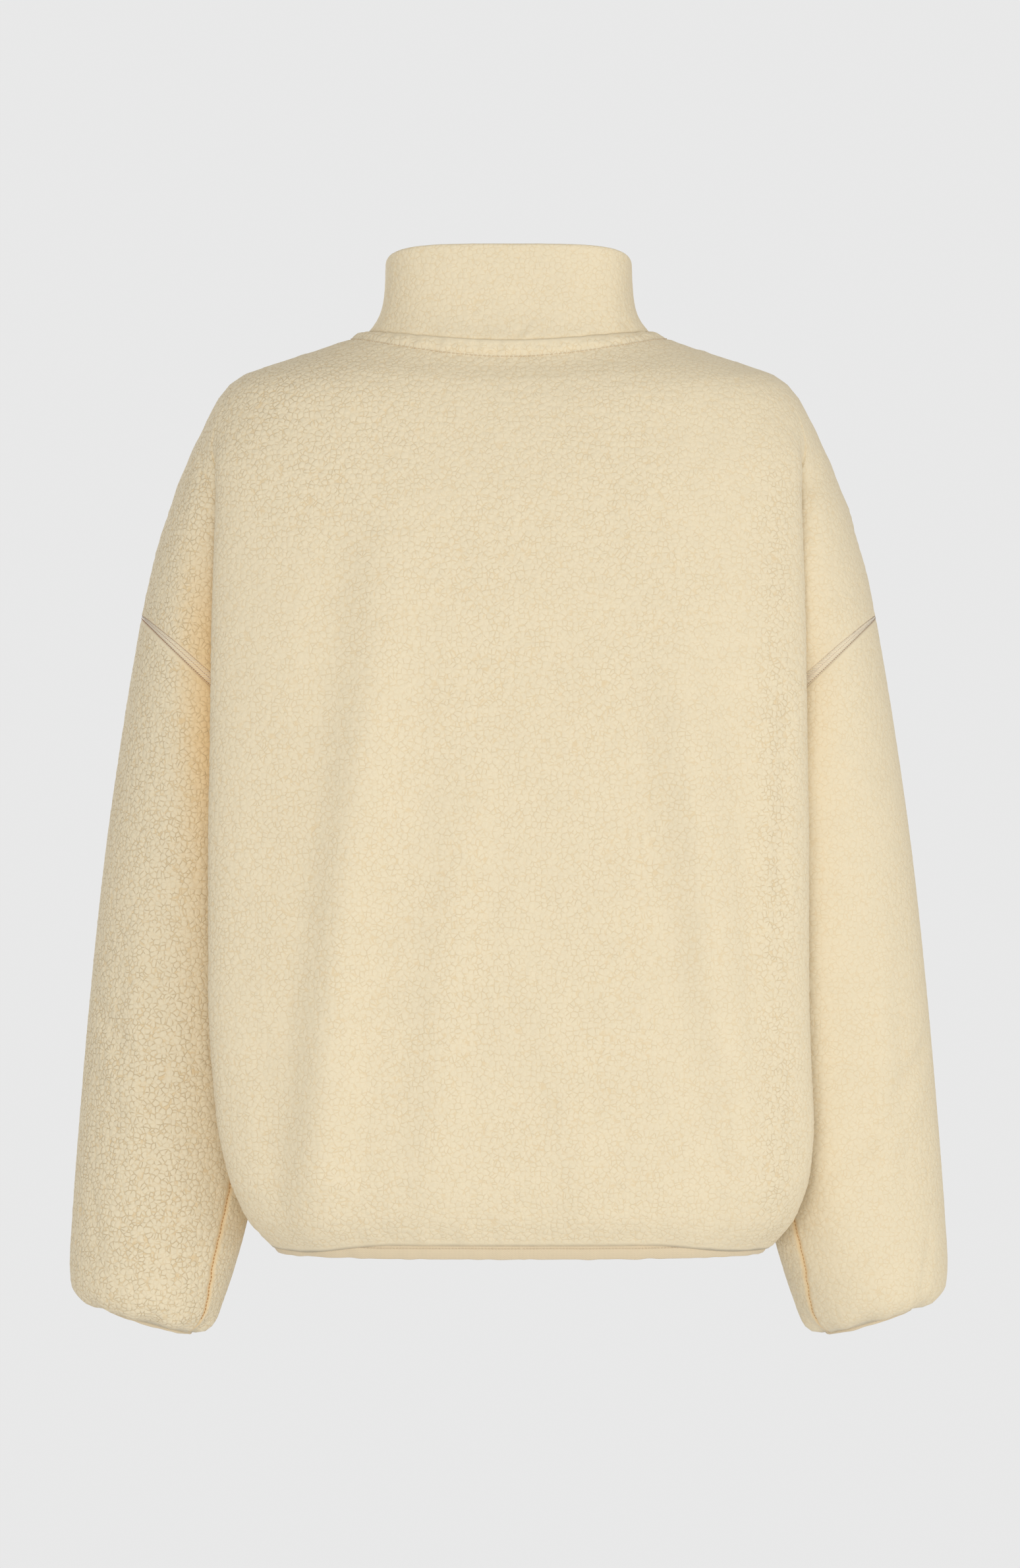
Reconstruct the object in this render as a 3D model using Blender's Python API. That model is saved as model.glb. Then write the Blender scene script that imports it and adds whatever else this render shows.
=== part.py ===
"""Boxy sherpa-fleece pullover with a stand collar, filled out as if worn, with nobody in it.

The front faces -Y and the wearer's left is +X. The origin is the centre of the neck, level with the
place where the shoulders meet the collar. Sizes below are in millimetres and are turned into metres
when a mesh is made. Depths are counted from the garment's middle plane, which splits back from front.

The outer face of the whole garment is worked out first, as rows of points that its panels share at the
seams. Each panel is then thickened inwards by its cloth and trimmed by half a seam gap all round.
"""

import bpy
import numpy as np

MM = 0.001

# Cloth
FLEECE = 3.0
BINDING_CLOTH = 2.2
SEAM_GAP = 0.3

# Driving dimensions
MIDDLE_Y = -6.0
UNDERARM_Z = -281.0
HEM_Z = -616.0
HEM_BINDING_DROP = 9.5
HEM_SWAY = -8.0
HEM_SWAY_FROM_Z = -440.0
SEAM_TOP_Z = -195.0
CREASE_START_Z = -100.0
CREASE_START_DEPTH = 58.0
CREASE_START_X = 190.0
UNDERARM_X = 160.0
CREASE_RADIUS = 1.6
FLANK_POWER = 2.5
YOKE_CENTRE_Z = -130.0
YOKE_CREASE_Z = -150.0
NECK_HALF_WIDTH = 97.0
NECK_DEPTH = {"back": 78.0, "front": 76.0}
NECK_Z = {"back": -10.5, "front": -48.0}
COLLAR_HALF_WIDTH = 84.0
COLLAR_TOP_DEPTH = {"back": 68.0, "front": 66.0}
COLLAR_TOP_Z = 55.5
COLLAR_TILT = 0.18
COLLAR_SQUARENESS = 3.6
CUFF_BINDING_DROP = 5.0
CUFF_BINDING_DRAW_IN = 0.97
HEM_BINDING_DRAW_IN = 0.98
SLEEVE_BLEND_SHARE = 0.2

# Near the neck a row is one rounded section. Further out it takes the body's corner, the crease and the arm
NECK_CREASE_Z = -3.0
NECK_ROW_CORNER = 0.70
NECK_ROW_CREASE = 0.78
NECK_ROW_POWERS = (2.4, 3.2)
FOLDED_FROM_SHARE = 0.42
FOLDED_OVER_SHARE = 0.36

# The line of the shoulder and the upper arm, from the neck to the top of the armhole seam
SHOULDER_LINE = {
    "x": [97.0, 128.0, 160.0, 180.0, 190.0, 198.0, 206.0, 219.0, 230.0, 240.0, 251.0],
    "z": [-1.0, -11.5, -22.0, -29.0, -36.0, -46.0, -61.0, -88.0, -116.0, -149.0, -195.0],
}

# Level sections through the body: depth at the centre back and centre front, the rounded corner
# where the back or front folds towards the arm, and the side seam, pushed in where the arm hangs
BODY = {
    "z": [-10.0, -60.0, -120.0, -200.0, -281.0, -360.0, -450.0, -530.0, -570.0, -595.0, -616.0],
    "back": [78.0, 103.0, 120.0, 130.0, 133.0, 134.0, 134.0, 133.0, 130.0, 124.0, 112.0],
    "front": [72.0, 92.0, 112.0, 127.0, 133.0, 136.0, 137.0, 135.0, 131.0, 125.0, 113.0],
    "corner_x": [196.0, 196.0, 197.0, 199.0, 200.0, 201.0, 201.0, 200.0, 195.0, 186.0, 168.0],
    "corner_depth": [62.0, 66.0, 74.0, 84.0, 88.0, 90.0, 90.0, 88.0, 84.0, 74.0, 50.0],
    "side_x": [160.0, 160.0, 160.0, 160.0, 160.0, 150.0, 147.0, 150.0, 157.0, 164.0, 167.5],
}

# Level sections through the arm: its outermost point, and the highest point of its back
ARM = {
    "z": [-46.0, -61.0, -88.0, -116.0, -149.0, -195.0, -250.0, -304.0],
    "outer_x": [198.0, 206.0, 219.0, 230.0, 240.0, 251.0, 260.0, 268.0],
    "top_x": [190.0, 194.0, 199.0, 202.0, 204.0, 206.0, 207.0, 208.0],
    "top_depth": [50.0, 55.0, 61.0, 64.0, 66.0, 68.0, 68.0, 67.0],
}

# Rings down the sleeve, as shares of its length: outer and inner points, and half its depth
SLEEVE = {
    "share": [0.0, 0.15, 0.35, 0.55, 0.75, 0.88, 0.945, 0.972, 0.99, 1.0],
    "outer_x": [251.0, 262.5, 276.0, 286.0, 294.0, 298.5, 300.0, 299.0, 292.5, 279.0],
    "outer_z": [-195.0, -263.0, -358.0, -452.0, -545.0, -607.0, -636.0, -650.0, -660.0, -665.0],
    "inner_x": [160.0, 160.5, 159.5, 161.0, 170.0, 181.5, 191.0, 196.5, 202.5, 213.0],
    "inner_z": [-281.0, -335.0, -410.0, -488.0, -566.0, -618.0, -650.0, -665.0, -676.5, -683.5],
    "half_depth": [68.0, 65.0, 62.0, 59.5, 57.0, 56.0, 55.0, 52.5, 46.0, 34.0],
}

# The largest folds of the back: a line from (x, z) to (x, z), its half width and how far it stands out
BACK_FOLDS = [
    {"from": (92.0, -190.0), "to": (135.0, -600.0), "half_width": 30.0, "height": 6.0},
    {"from": (-98.0, -150.0), "to": (-165.0, -600.0), "half_width": 34.0, "height": 6.0},
    {"from": (20.0, -260.0), "to": (58.0, -590.0), "half_width": 26.0, "height": 3.0},
]

# How finely the cloth is divided: rows down the garment and columns round one half of one panel
YOKE_SHARES = [0.0, 0.16, 0.32, 0.41, 0.52, 0.68, 0.84]
ARMHOLE_ROWS = 9
SKIRT_SHARES = [0.14, 0.3, 0.46, 0.62, 0.76, 0.87, 0.945, 1.0]
BACK_SHARES = [0.0, 0.22, 0.44, 0.65, 0.83, 0.94, 1.0]
SIDE_SHARES = [0.16, 0.42, 0.72, 1.0]
FLAP_SHARES = [0.0, 0.25, 0.5, 0.75, 1.0]
SLEEVE_SHARES = [0.0, 0.05, 0.14, 0.27, 0.41, 0.55, 0.69, 0.81, 0.9, 0.96, 0.99, 1.0]
COLLAR_SHARES = [0.0, 0.16, 0.45, 1.0]

CREAM = (0.80, 0.69, 0.49)
CREAM_SMOOTH = (0.78, 0.68, 0.50)


# ---------------------------------------------------------------- curves

def smooth_step(value):
    value = np.clip(value, 0.0, 1.0)
    return value * value * (3.0 - 2.0 * value)


def between(start, end, share):
    return start + (end - start) * share


def read(table, key, place, column):
    """A smooth value from a table's column: cubic pieces whose slopes never overshoot the rows."""
    places = np.array(table[key], float)
    heights = np.array(table[column], float)
    if places[0] > places[-1]:
        places = places[::-1]
        heights = heights[::-1]
    steps = np.diff(places)
    rises = np.diff(heights) / steps
    slopes = np.zeros(len(places))
    slopes[0] = rises[0]
    slopes[-1] = rises[-1]
    for row in range(1, len(places) - 1):
        if rises[row - 1] * rises[row] > 0.0:
            slopes[row] = 2.0 / (1.0 / rises[row - 1] + 1.0 / rises[row])
    place = float(np.clip(place, places[0], places[-1]))
    row = int(np.clip(np.searchsorted(places, place) - 1, 0, len(places) - 2))
    step = steps[row]
    share = (place - places[row]) / step
    start = (1.0 + 2.0 * share) * (1.0 - share) ** 2
    leave = share * (1.0 - share) ** 2
    end = share * share * (3.0 - 2.0 * share)
    arrive = share * share * (share - 1.0)
    return (start * heights[row] + leave * step * slopes[row]
            + end * heights[row + 1] + arrive * step * slopes[row + 1])


def along(points, shares):
    """Points at the given shares of a line's length."""
    points = np.asarray(points, float)
    lengths = np.linalg.norm(np.diff(points, axis=0), axis=1)
    travelled = np.concatenate([[0.0], np.cumsum(lengths)])
    wanted = np.asarray(shares, float) * travelled[-1]
    return np.stack([np.interp(wanted, travelled, points[:, axis]) for axis in range(points.shape[1])], axis=1)


def rounded_quarter(width, depth, power, count=160):
    """A quarter of a squared ellipse, from (0, depth) round to (width, 0)."""
    turn = np.linspace(0.0, np.pi / 2.0, count)
    return np.stack([width * np.sin(turn) ** (2.0 / power), depth * np.cos(turn) ** (2.0 / power)], axis=1)


# ---------------------------------------------------------------- body, as half sections

def crease(z):
    """(x, depth, radius) of the bottom of the crease between body and arm; it reaches the underarm."""
    share = np.clip((z - CREASE_START_Z) / (UNDERARM_Z - CREASE_START_Z), 0.0, 1.0)
    depth = CREASE_START_DEPTH * np.sqrt(1.0 - share * share)
    radius = CREASE_RADIUS * min(1.0, depth / 6.0)
    return between(CREASE_START_X, UNDERARM_X, share), depth, radius


def arm_point(z, turn):
    """A point of the upper arm's level section: turn 0 is at the crease, 1 its highest back, 2 outermost."""
    crease_x, crease_depth, radius = crease(z)
    top_x = read(ARM, "z", z, "top_x")
    top_depth = read(ARM, "z", z, "top_depth")
    if turn <= 1.0:
        angle = turn * np.pi / 2.0
        start_x = crease_x + radius
        start_depth = crease_depth + radius
        return np.array([top_x - (top_x - start_x) * np.cos(angle),
                         start_depth + (top_depth - start_depth) * np.sin(angle), z])
    angle = (turn - 1.0) * np.pi / 2.0
    outer_x = read(ARM, "z", z, "outer_x")
    return np.array([top_x + (outer_x - top_x) * np.sin(angle), top_depth * np.cos(angle), z])


def seam_turn(z):
    """Where the armhole seam's slanted plane cuts the arm's level section."""
    x = between(read(ARM, "z", SEAM_TOP_Z, "outer_x"), UNDERARM_X, (z - SEAM_TOP_Z) / (UNDERARM_Z - SEAM_TOP_Z))
    top_x = read(ARM, "z", z, "top_x")
    if x >= top_x:
        outer_x = read(ARM, "z", z, "outer_x")
        return 1.0 + np.arcsin(min(1.0, (x - top_x) / (outer_x - top_x))) * 2.0 / np.pi
    crease_x, _, radius = crease(z)
    return np.arccos(min(1.0, (top_x - x) / (top_x - crease_x - radius))) * 2.0 / np.pi


def even_heights(first, last, place, shares, count=400):
    """Heights that divide the line place(z) evenly; both ends are sampled closely."""
    angles = np.linspace(0.0, np.pi, count)
    heights = between(first, last, (1.0 - np.cos(angles)) / 2.0)
    points = np.array([place(z) for z in heights])
    return along(np.column_stack([points, heights]), shares)[:, -1]


def seam_point(z):
    return arm_point(z, seam_turn(z))


def crease_point(z):
    x, depth, _ = crease(z)
    return np.array([x, depth, z])


ARMHOLE_SHARES = np.linspace(0.0, 1.0, ARMHOLE_ROWS + 1)
SEAM_HEIGHTS = even_heights(SEAM_TOP_Z, UNDERARM_Z, seam_point, ARMHOLE_SHARES)
CREASE_HEIGHTS = even_heights(YOKE_CREASE_Z, UNDERARM_Z, crease_point, ARMHOLE_SHARES)


def folded_half(side, centre_z, edge_z, crease_at):
    """Half of a level section, centre to side: a shallow arc to the corner, then in to the crease."""
    depth = read(BODY, "z", centre_z, side)
    corner_x = read(BODY, "z", edge_z, "corner_x")
    corner_depth = read(BODY, "z", edge_z, "corner_depth")
    crease_x, crease_depth, radius = crease_at
    turn = np.linspace(0.0, np.pi / 2.0, 160)
    arc = np.stack([corner_x * np.sin(turn) ** (2.0 / 3.0),
                    corner_depth + (depth - corner_depth) * np.cos(turn)], axis=1)
    share = np.linspace(1.0, 0.0, 80)
    start_x = crease_x - radius
    start_depth = crease_depth + radius
    side_line = np.stack([start_x + (corner_x - start_x) * smooth_step(share ** FLANK_POWER),
                          start_depth + (corner_depth - start_depth) * share], axis=1)
    return along(arc, BACK_SHARES), along(side_line, SIDE_SHARES)


def level_half(side, centre_z, edge_z):
    """folded_half as points of x, depth and z: height eases from the centre's to the edge's."""
    back, flank = folded_half(side, centre_z, edge_z, crease(edge_z))
    heights = between(centre_z, edge_z, smooth_step(np.array(BACK_SHARES)))
    back = np.column_stack([back, heights])
    flank = np.column_stack([flank, np.full(len(flank), edge_z)])
    return back, flank


def yoke_line(share):
    line = np.column_stack([SHOULDER_LINE["x"], SHOULDER_LINE["z"]])
    return along(line, [share])[0]


def yoke_row(side, share):
    """A row between the neck and the top of the armhole seam: (back, flank, crease, flap) points."""
    edge_x, edge_z = yoke_line(share)
    centre_z = between(NECK_Z[side], YOKE_CENTRE_Z, share)
    crease_z = between(NECK_CREASE_Z, YOKE_CREASE_Z, share ** 1.15)
    # Near the neck: one rounded section from the centre to the shoulder line
    depth = between(NECK_DEPTH[side], read(BODY, "z", centre_z, side), smooth_step(share * 4.0))
    power = between(*NECK_ROW_POWERS, smooth_step(share * 2.0))
    shares = np.concatenate([np.array(BACK_SHARES) * NECK_ROW_CORNER,
                             between(NECK_ROW_CORNER, NECK_ROW_CREASE, np.array(SIDE_SHARES)),
                             [NECK_ROW_CREASE],
                             between(NECK_ROW_CREASE, 1.0, np.array(FLAP_SHARES))])
    plain = along(rounded_quarter(edge_x, depth, power), shares)
    plain = np.column_stack([plain, between(centre_z, edge_z, smooth_step(shares))])
    # Further out: the body's corner, the crease and the arm
    back, flank = level_half(side, centre_z, crease_z)
    flap = [arm_point(between(crease_z, edge_z, t), 2.0 * t) for t in FLAP_SHARES]
    folded = np.vstack([back, flank, [crease_point(crease_z)], flap])
    open_share = smooth_step((share - FOLDED_FROM_SHARE) / FOLDED_OVER_SHARE)
    points = between(plain, folded, open_share)
    return split_row(points)


def split_row(points):
    first = len(BACK_SHARES)
    second = first + len(SIDE_SHARES)
    return points[:first], points[first:second], points[second], points[second + 1:]


def armhole_row(side, index):
    """A row beside the armhole: its flap over the arm ends at the armhole seam."""
    share = ARMHOLE_SHARES[index]
    crease_z = CREASE_HEIGHTS[index]
    seam_z = SEAM_HEIGHTS[index]
    back, flank = level_half(side, between(YOKE_CENTRE_Z, UNDERARM_Z, share), crease_z)
    turn = seam_turn(seam_z)
    flap = [arm_point(between(crease_z, seam_z, t), turn * t) for t in FLAP_SHARES]
    if index == ARMHOLE_ROWS:
        flank[-1] = crease_point(UNDERARM_Z)
        flap = [crease_point(UNDERARM_Z)] * len(FLAP_SHARES)
    return back, flank, crease_point(crease_z), np.array(flap)


def skirt_row(side, share):
    """A level row below the underarm, from the centre to the side seam."""
    z = between(UNDERARM_Z, HEM_Z, share)
    back, flank = folded_half(side, z, z, (read(BODY, "z", z, "side_x"), 0.0, 0.0))
    points = np.vstack([back, flank])
    return np.column_stack([points, np.full(len(points), z)])


def fold_height(x, z):
    """How far the back's folds stand out at (x, z)."""
    total = 0.0
    for fold in BACK_FOLDS:
        start = np.array(fold["from"])
        line = np.array(fold["to"]) - start
        place = np.array([x, z]) - start
        share = place @ line / (line @ line)
        across = abs(line[0] * place[1] - line[1] * place[0]) / np.linalg.norm(line)
        ends = smooth_step(share / 0.3) * smooth_step((1.1 - share) / 0.25)
        total += fold["height"] * smooth_step(1.0 - across / fold["half_width"]) * ends
    return total


def placed(points, side, hand):
    """Half-section points put in the garment's frame, for one side and one hand (+1 is the wearer's left)."""
    points = np.asarray(points, float).reshape(-1, 3).copy()
    facing = 1.0 if side == "back" else -1.0
    if side == "back":
        for point in points:
            if point[1] > read(BODY, "z", point[2], "corner_depth"):
                point[1] += fold_height(hand * point[0], point[2])
    sway = HEM_SWAY * smooth_step((points[:, 2] - HEM_SWAY_FROM_Z) / (HEM_Z - HEM_SWAY_FROM_Z))
    return np.column_stack([hand * points[:, 0] + sway, MIDDLE_Y + facing * points[:, 1], points[:, 2]])


# ---------------------------------------------------------------- outer faces of the pieces

def grid_faces(rows):
    """Quads between neighbouring rows of points, as lists of corner points."""
    faces = []
    for upper, lower in zip(rows[:-1], rows[1:]):
        for column in range(len(upper) - 1):
            faces.append([upper[column], lower[column], lower[column + 1], upper[column + 1]])
    return faces


def ring_faces(rings):
    return grid_faces([np.vstack([ring, ring[:1]]) for ring in rings])


def body_rows(side):
    """All rows of one panel's half: (points from the centre to the crease, points over the arm)."""
    rows = []
    for share in YOKE_SHARES:
        back, flank, bottom, flap = yoke_row(side, share)
        rows.append((np.vstack([back, flank]), np.vstack([[bottom], flap])))
    for index in range(ARMHOLE_ROWS + 1):
        back, flank, bottom, flap = armhole_row(side, index)
        rows.append((np.vstack([back, flank]), np.vstack([[bottom], flap])))
    return rows


def panel_faces(side):
    faces = []
    rows = body_rows(side)
    lower = [skirt_row(side, share) for share in SKIRT_SHARES]
    for hand in (1.0, -1.0):
        upper_grid = [placed(np.vstack([centre, over]), side, hand) for centre, over in rows]
        half = grid_faces(upper_grid)
        skirt_grid = [placed(rows[-1][0], side, hand)] + [placed(row, side, hand) for row in lower]
        half += grid_faces(skirt_grid)
        turned = (side == "back") != (hand > 0.0)
        faces += half if turned else [face[::-1] for face in half]
    return faces


def sleeve_ring(share):
    """A ring of the sleeve. Its points run from the top round the back, under the arm and up the front."""
    outer = np.array([read(SLEEVE, "share", share, "outer_x"), read(SLEEVE, "share", share, "outer_z")])
    inner = np.array([read(SLEEVE, "share", share, "inner_x"), read(SLEEVE, "share", share, "inner_z")])
    half_depth = read(SLEEVE, "share", share, "half_depth")
    count = 2 * ARMHOLE_ROWS
    turn = 2.0 * np.pi * np.arange(count) / count
    middle = (outer + inner) / 2.0
    reach = (outer - inner) / 2.0
    return np.stack([middle[0] + reach[0] * np.cos(turn), half_depth * np.sin(turn),
                     middle[1] + reach[1] * np.cos(turn)], axis=1)


def armhole_loop():
    """The armhole seam as a ring like sleeve_ring's."""
    back = np.array([seam_point(z) for z in SEAM_HEIGHTS[:-1]])
    back[0, 1] = 0.0
    bottom = crease_point(UNDERARM_Z)
    front = back[:0:-1] * np.array([1.0, -1.0, 1.0])
    return np.vstack([back, [bottom], front])


def sleeve_rings(hand):
    loop = armhole_loop()
    first = sleeve_ring(0.0)
    rings = []
    for share in SLEEVE_SHARES:
        ring = sleeve_ring(share) + (loop - first) * (1.0 - smooth_step(share / SLEEVE_BLEND_SHARE))
        rings.append(np.column_stack([hand * ring[:, 0], MIDDLE_Y + ring[:, 1], ring[:, 2]]))
    return rings


def sleeve_faces(hand):
    faces = ring_faces(sleeve_rings(hand))
    return faces if hand > 0.0 else [face[::-1] for face in faces]


def cuff_binding_faces(hand):
    last = sleeve_rings(hand)[-1]
    middle = last.mean(axis=0)
    lower = middle + (last - middle) * CUFF_BINDING_DRAW_IN - np.array([0.0, 0.0, CUFF_BINDING_DROP])
    faces = ring_faces([last, between(last, lower, 0.5), lower])
    return faces if hand > 0.0 else [face[::-1] for face in faces]


def whole_loop(half_rows):
    """A closed ring from the quarter rows of back and front, for both hands."""
    back_left = placed(half_rows["back"], "back", 1.0)
    front_left = placed(half_rows["front"], "front", 1.0)
    front_right = placed(half_rows["front"], "front", -1.0)
    back_right = placed(half_rows["back"], "back", -1.0)
    return np.vstack([back_left, front_left[-2::-1], front_right[1:], back_right[-2:0:-1]])


def neck_loop():
    rows = {}
    for side in ("back", "front"):
        back, flank, bottom, flap = yoke_row(side, 0.0)
        rows[side] = np.vstack([back, flank[:-1], [bottom], flap[1:]])
    return whole_loop(rows)


def collar_ring(base, share):
    """The collar's ring at a share of its height; base is the neck seam."""
    depths = base[:, 1] - MIDDLE_Y
    facing = np.where(depths >= 0.0, 1.0, -1.0)
    base_depth = np.where(depths >= 0.0, NECK_DEPTH["back"], NECK_DEPTH["front"])
    top_depth = np.where(depths >= 0.0, COLLAR_TOP_DEPTH["back"], COLLAR_TOP_DEPTH["front"])
    # The squared ellipse of the top edge, at the same share round as the seam's point
    turn = np.arctan2(np.abs(base[:, 0]) / NECK_HALF_WIDTH, np.abs(depths) / base_depth)
    top_x = np.sign(base[:, 0]) * COLLAR_HALF_WIDTH * np.abs(np.sin(turn)) ** (2.0 / COLLAR_SQUARENESS)
    top_y = facing * top_depth * np.abs(np.cos(turn)) ** (2.0 / COLLAR_SQUARENESS)
    top_z = COLLAR_TOP_Z - (COLLAR_TOP_DEPTH["back"] - top_y) * COLLAR_TILT
    narrow = 1.0 - (1.0 - share) ** 4
    return np.stack([between(base[:, 0], top_x, narrow), MIDDLE_Y + between(depths, top_y, narrow),
                     between(base[:, 2], top_z, share)], axis=1)


def collar_faces():
    base = neck_loop()
    return ring_faces([collar_ring(base, share) for share in COLLAR_SHARES])


def hem_loop():
    return whole_loop({side: skirt_row(side, 1.0) for side in ("back", "front")})


def hem_binding_faces():
    loop = hem_loop()
    middle = np.array([HEM_SWAY, MIDDLE_Y, HEM_Z])
    rings = []
    for share in (0.0, 0.5, 1.0):
        draw_in = between(1.0, HEM_BINDING_DRAW_IN, share ** 1.3)
        ring = middle + (loop - middle) * np.array([draw_in, draw_in, 1.0])
        rings.append(ring - np.array([0.0, 0.0, HEM_BINDING_DROP * share]))
    return [face[::-1] for face in ring_faces(rings)]


# ---------------------------------------------------------------- walls and objects

def weld(pieces):
    """Shared points of all pieces, and each piece's faces as rows of point numbers."""
    numbers = {}
    points = []
    numbered = {}
    for name, faces in pieces.items():
        rows = []
        for face in faces:
            row = []
            for point in face:
                key = tuple(np.round(point, 2) + 0.0)
                if key not in numbers:
                    numbers[key] = len(points)
                    points.append(np.array(point, float))
                if numbers[key] not in row:
                    row.append(numbers[key])
            if len(row) > 2:
                rows.append(row)
        numbered[name] = rows
    return np.array(points), numbered


def face_normal(points, face):
    corners = points[face]
    return np.cross(corners[1] - corners[0], corners[2] - corners[0]) + (
        np.cross(corners[2] - corners[0], corners[3] - corners[0]) if len(face) == 4 else 0.0)


def point_normals(points, numbered):
    normals = np.zeros_like(points)
    for faces in numbered.values():
        for face in faces:
            normal = face_normal(points, face)
            size = np.linalg.norm(normal)
            if size > 0.0:
                normals[face] += normal / np.sqrt(size)
    for number, point in enumerate(points):
        depth = point[1] - MIDDLE_Y
        crease_x, crease_depth, _ = crease(point[2])
        if (UNDERARM_Z - 0.01 <= point[2] <= CREASE_START_Z and abs(abs(point[0]) - crease_x) < 0.01
                and abs(abs(depth) - crease_depth) < 0.01):
            # On the bottom of the crease the wall turns back on itself
            rise = (point[2] - CREASE_START_Z) / (UNDERARM_Z - CREASE_START_Z) ** 2
            normals[number] = (0.0, depth / CREASE_START_DEPTH ** 2, rise)
    return normals / np.linalg.norm(normals, axis=1, keepdims=True)


def flattest_split(points, normals, face):
    """A quad as two triangles, cut so that both face the way its points do."""
    if len(face) == 3:
        return [face]
    a, b, c, d = face
    best = []
    best_worth = -np.inf
    for split in ([[a, b, c], [a, c, d]], [[b, c, d], [b, d, a]]):
        worth = np.inf
        for triangle in split:
            normal = face_normal(points, triangle)
            facing = normal @ normals[triangle].sum(axis=0)
            worth = min(worth, facing / (np.linalg.norm(normal) + 1e-9))
        if worth > best_worth:
            best = split
            best_worth = worth
    return best


def border_edges(faces):
    edges = {}
    for face in faces:
        for start, end in zip(face, face[1:] + face[:1]):
            edges[(start, end)] = True
    return [(start, end) for start, end in edges if (end, start) not in edges]


def trims(points, normals, border):
    """How far each border point moves back, so that half of the seam's gap opens."""
    moves = {}
    for start, end in border:
        direction = points[end] - points[start]
        direction /= np.linalg.norm(direction)
        normal = normals[start] + normals[end]
        inward = np.cross(normal / np.linalg.norm(normal), direction)
        for number in (start, end):
            moves.setdefault(number, []).append(inward / np.linalg.norm(inward))
    result = {}
    for number, directions in moves.items():
        total = np.sum(directions, axis=0)
        total /= max(np.linalg.norm(total), 1e-6)
        widen = max(0.5, float(np.mean([direction @ total for direction in directions])))
        result[number] = total * (SEAM_GAP / 2.0) / widen
    return result


def wall_mesh(name, points, normals, faces, cloth):
    """A closed wall: outer faces, inner faces a cloth's thickness in, and rims along the seams."""
    border = border_edges(faces)
    moves = trims(points, normals, border)
    used = sorted({number for face in faces for number in face})
    place = {number: row for row, number in enumerate(used)}
    outer = np.array([points[number] + moves.get(number, 0.0) for number in used])
    inner = outer - cloth * normals[used]
    shift = len(used)
    polygons = [[place[number] for number in face] for face in faces]
    polygons += [[place[number] + shift for number in face[::-1]] for face in faces]
    for start, end in border:
        first, last = place[start], place[end]
        # Both pieces of a seam split their rims along the same diagonal, so the rims stay apart
        if start < end:
            polygons += [[last, first, last + shift], [first, first + shift, last + shift]]
        else:
            polygons += [[last, first, first + shift], [last, first + shift, last + shift]]
    mesh = bpy.data.meshes.new(name)
    mesh.from_pydata((np.vstack([outer, inner]) * MM).tolist(), [], polygons)
    mesh.update()
    return mesh


def material(name, colour, roughness):
    cloth = bpy.data.materials.new(name)
    cloth.use_nodes = True
    shader = cloth.node_tree.nodes["Principled BSDF"]
    shader.inputs["Base Color"].default_value = (*colour, 1.0)
    shader.inputs["Roughness"].default_value = roughness
    shader.inputs["Metallic"].default_value = 0.0
    return cloth


def clear_scene():
    for obj in list(bpy.data.objects):
        bpy.data.objects.remove(obj, do_unlink=True)


def build():
    clear_scene()
    pieces = {
        "back": panel_faces("back"),
        "front": panel_faces("front"),
        "sleeve_left": sleeve_faces(1.0),
        "sleeve_right": sleeve_faces(-1.0),
        "collar": collar_faces(),
        "hem_binding": hem_binding_faces(),
        "cuff_binding_left": cuff_binding_faces(1.0),
        "cuff_binding_right": cuff_binding_faces(-1.0),
    }
    points, numbered = weld(pieces)
    normals = point_normals(points, numbered)
    for name, quads in numbered.items():
        faces = [half for quad in quads for half in flattest_split(points, normals, quad)]
        binding = "binding" in name
        cloth = BINDING_CLOTH if binding else FLEECE
        mesh = wall_mesh(name, points, normals, faces, cloth)
        obj = bpy.data.objects.new(name, mesh)
        bpy.context.scene.collection.objects.link(obj)
        colour = CREAM_SMOOTH if binding else CREAM
        mesh.materials.append(material(name + "_cloth", colour, 0.9))
        mesh.shade_smooth()


build()
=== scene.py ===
# %% [markdown]
# # A sherpa-fleece pullover, filled out as if worn
# The real garment is cut from one sherpa fleece: a smooth knit outside of which stands a curled pile
# that looks like small pale pebbles. It has a back, a front, two sleeves set on a dropped shoulder, a
# stand collar folded over at its top edge, and a thin smooth binding at the hem and in each cuff.
# Here every piece of cloth is a thin closed shell that follows its solid in the frame. The frame comes
# first, because every piece must lie where its solid lies.

import bpy
import numpy as np
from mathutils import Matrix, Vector
from mathutils.kdtree import KDTree


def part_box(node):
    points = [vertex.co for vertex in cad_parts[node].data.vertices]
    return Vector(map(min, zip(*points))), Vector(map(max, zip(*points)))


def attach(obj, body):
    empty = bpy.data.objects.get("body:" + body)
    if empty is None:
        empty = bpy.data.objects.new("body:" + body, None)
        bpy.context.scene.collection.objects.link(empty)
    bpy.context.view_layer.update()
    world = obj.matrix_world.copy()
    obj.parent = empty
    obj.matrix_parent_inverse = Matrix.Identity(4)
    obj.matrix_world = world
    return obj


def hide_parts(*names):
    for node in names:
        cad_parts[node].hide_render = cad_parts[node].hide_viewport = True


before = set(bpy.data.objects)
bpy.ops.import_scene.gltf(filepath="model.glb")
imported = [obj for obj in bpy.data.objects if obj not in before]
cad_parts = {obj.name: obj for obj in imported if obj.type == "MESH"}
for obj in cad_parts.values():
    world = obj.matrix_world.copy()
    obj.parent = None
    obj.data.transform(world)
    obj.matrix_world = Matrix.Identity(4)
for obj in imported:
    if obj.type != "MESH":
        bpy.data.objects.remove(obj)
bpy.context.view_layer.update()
for name in sorted(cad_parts):
    low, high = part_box(name)
    print(name, [round(v * 1000) for v in low], [round(v * 1000) for v in high])

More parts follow.
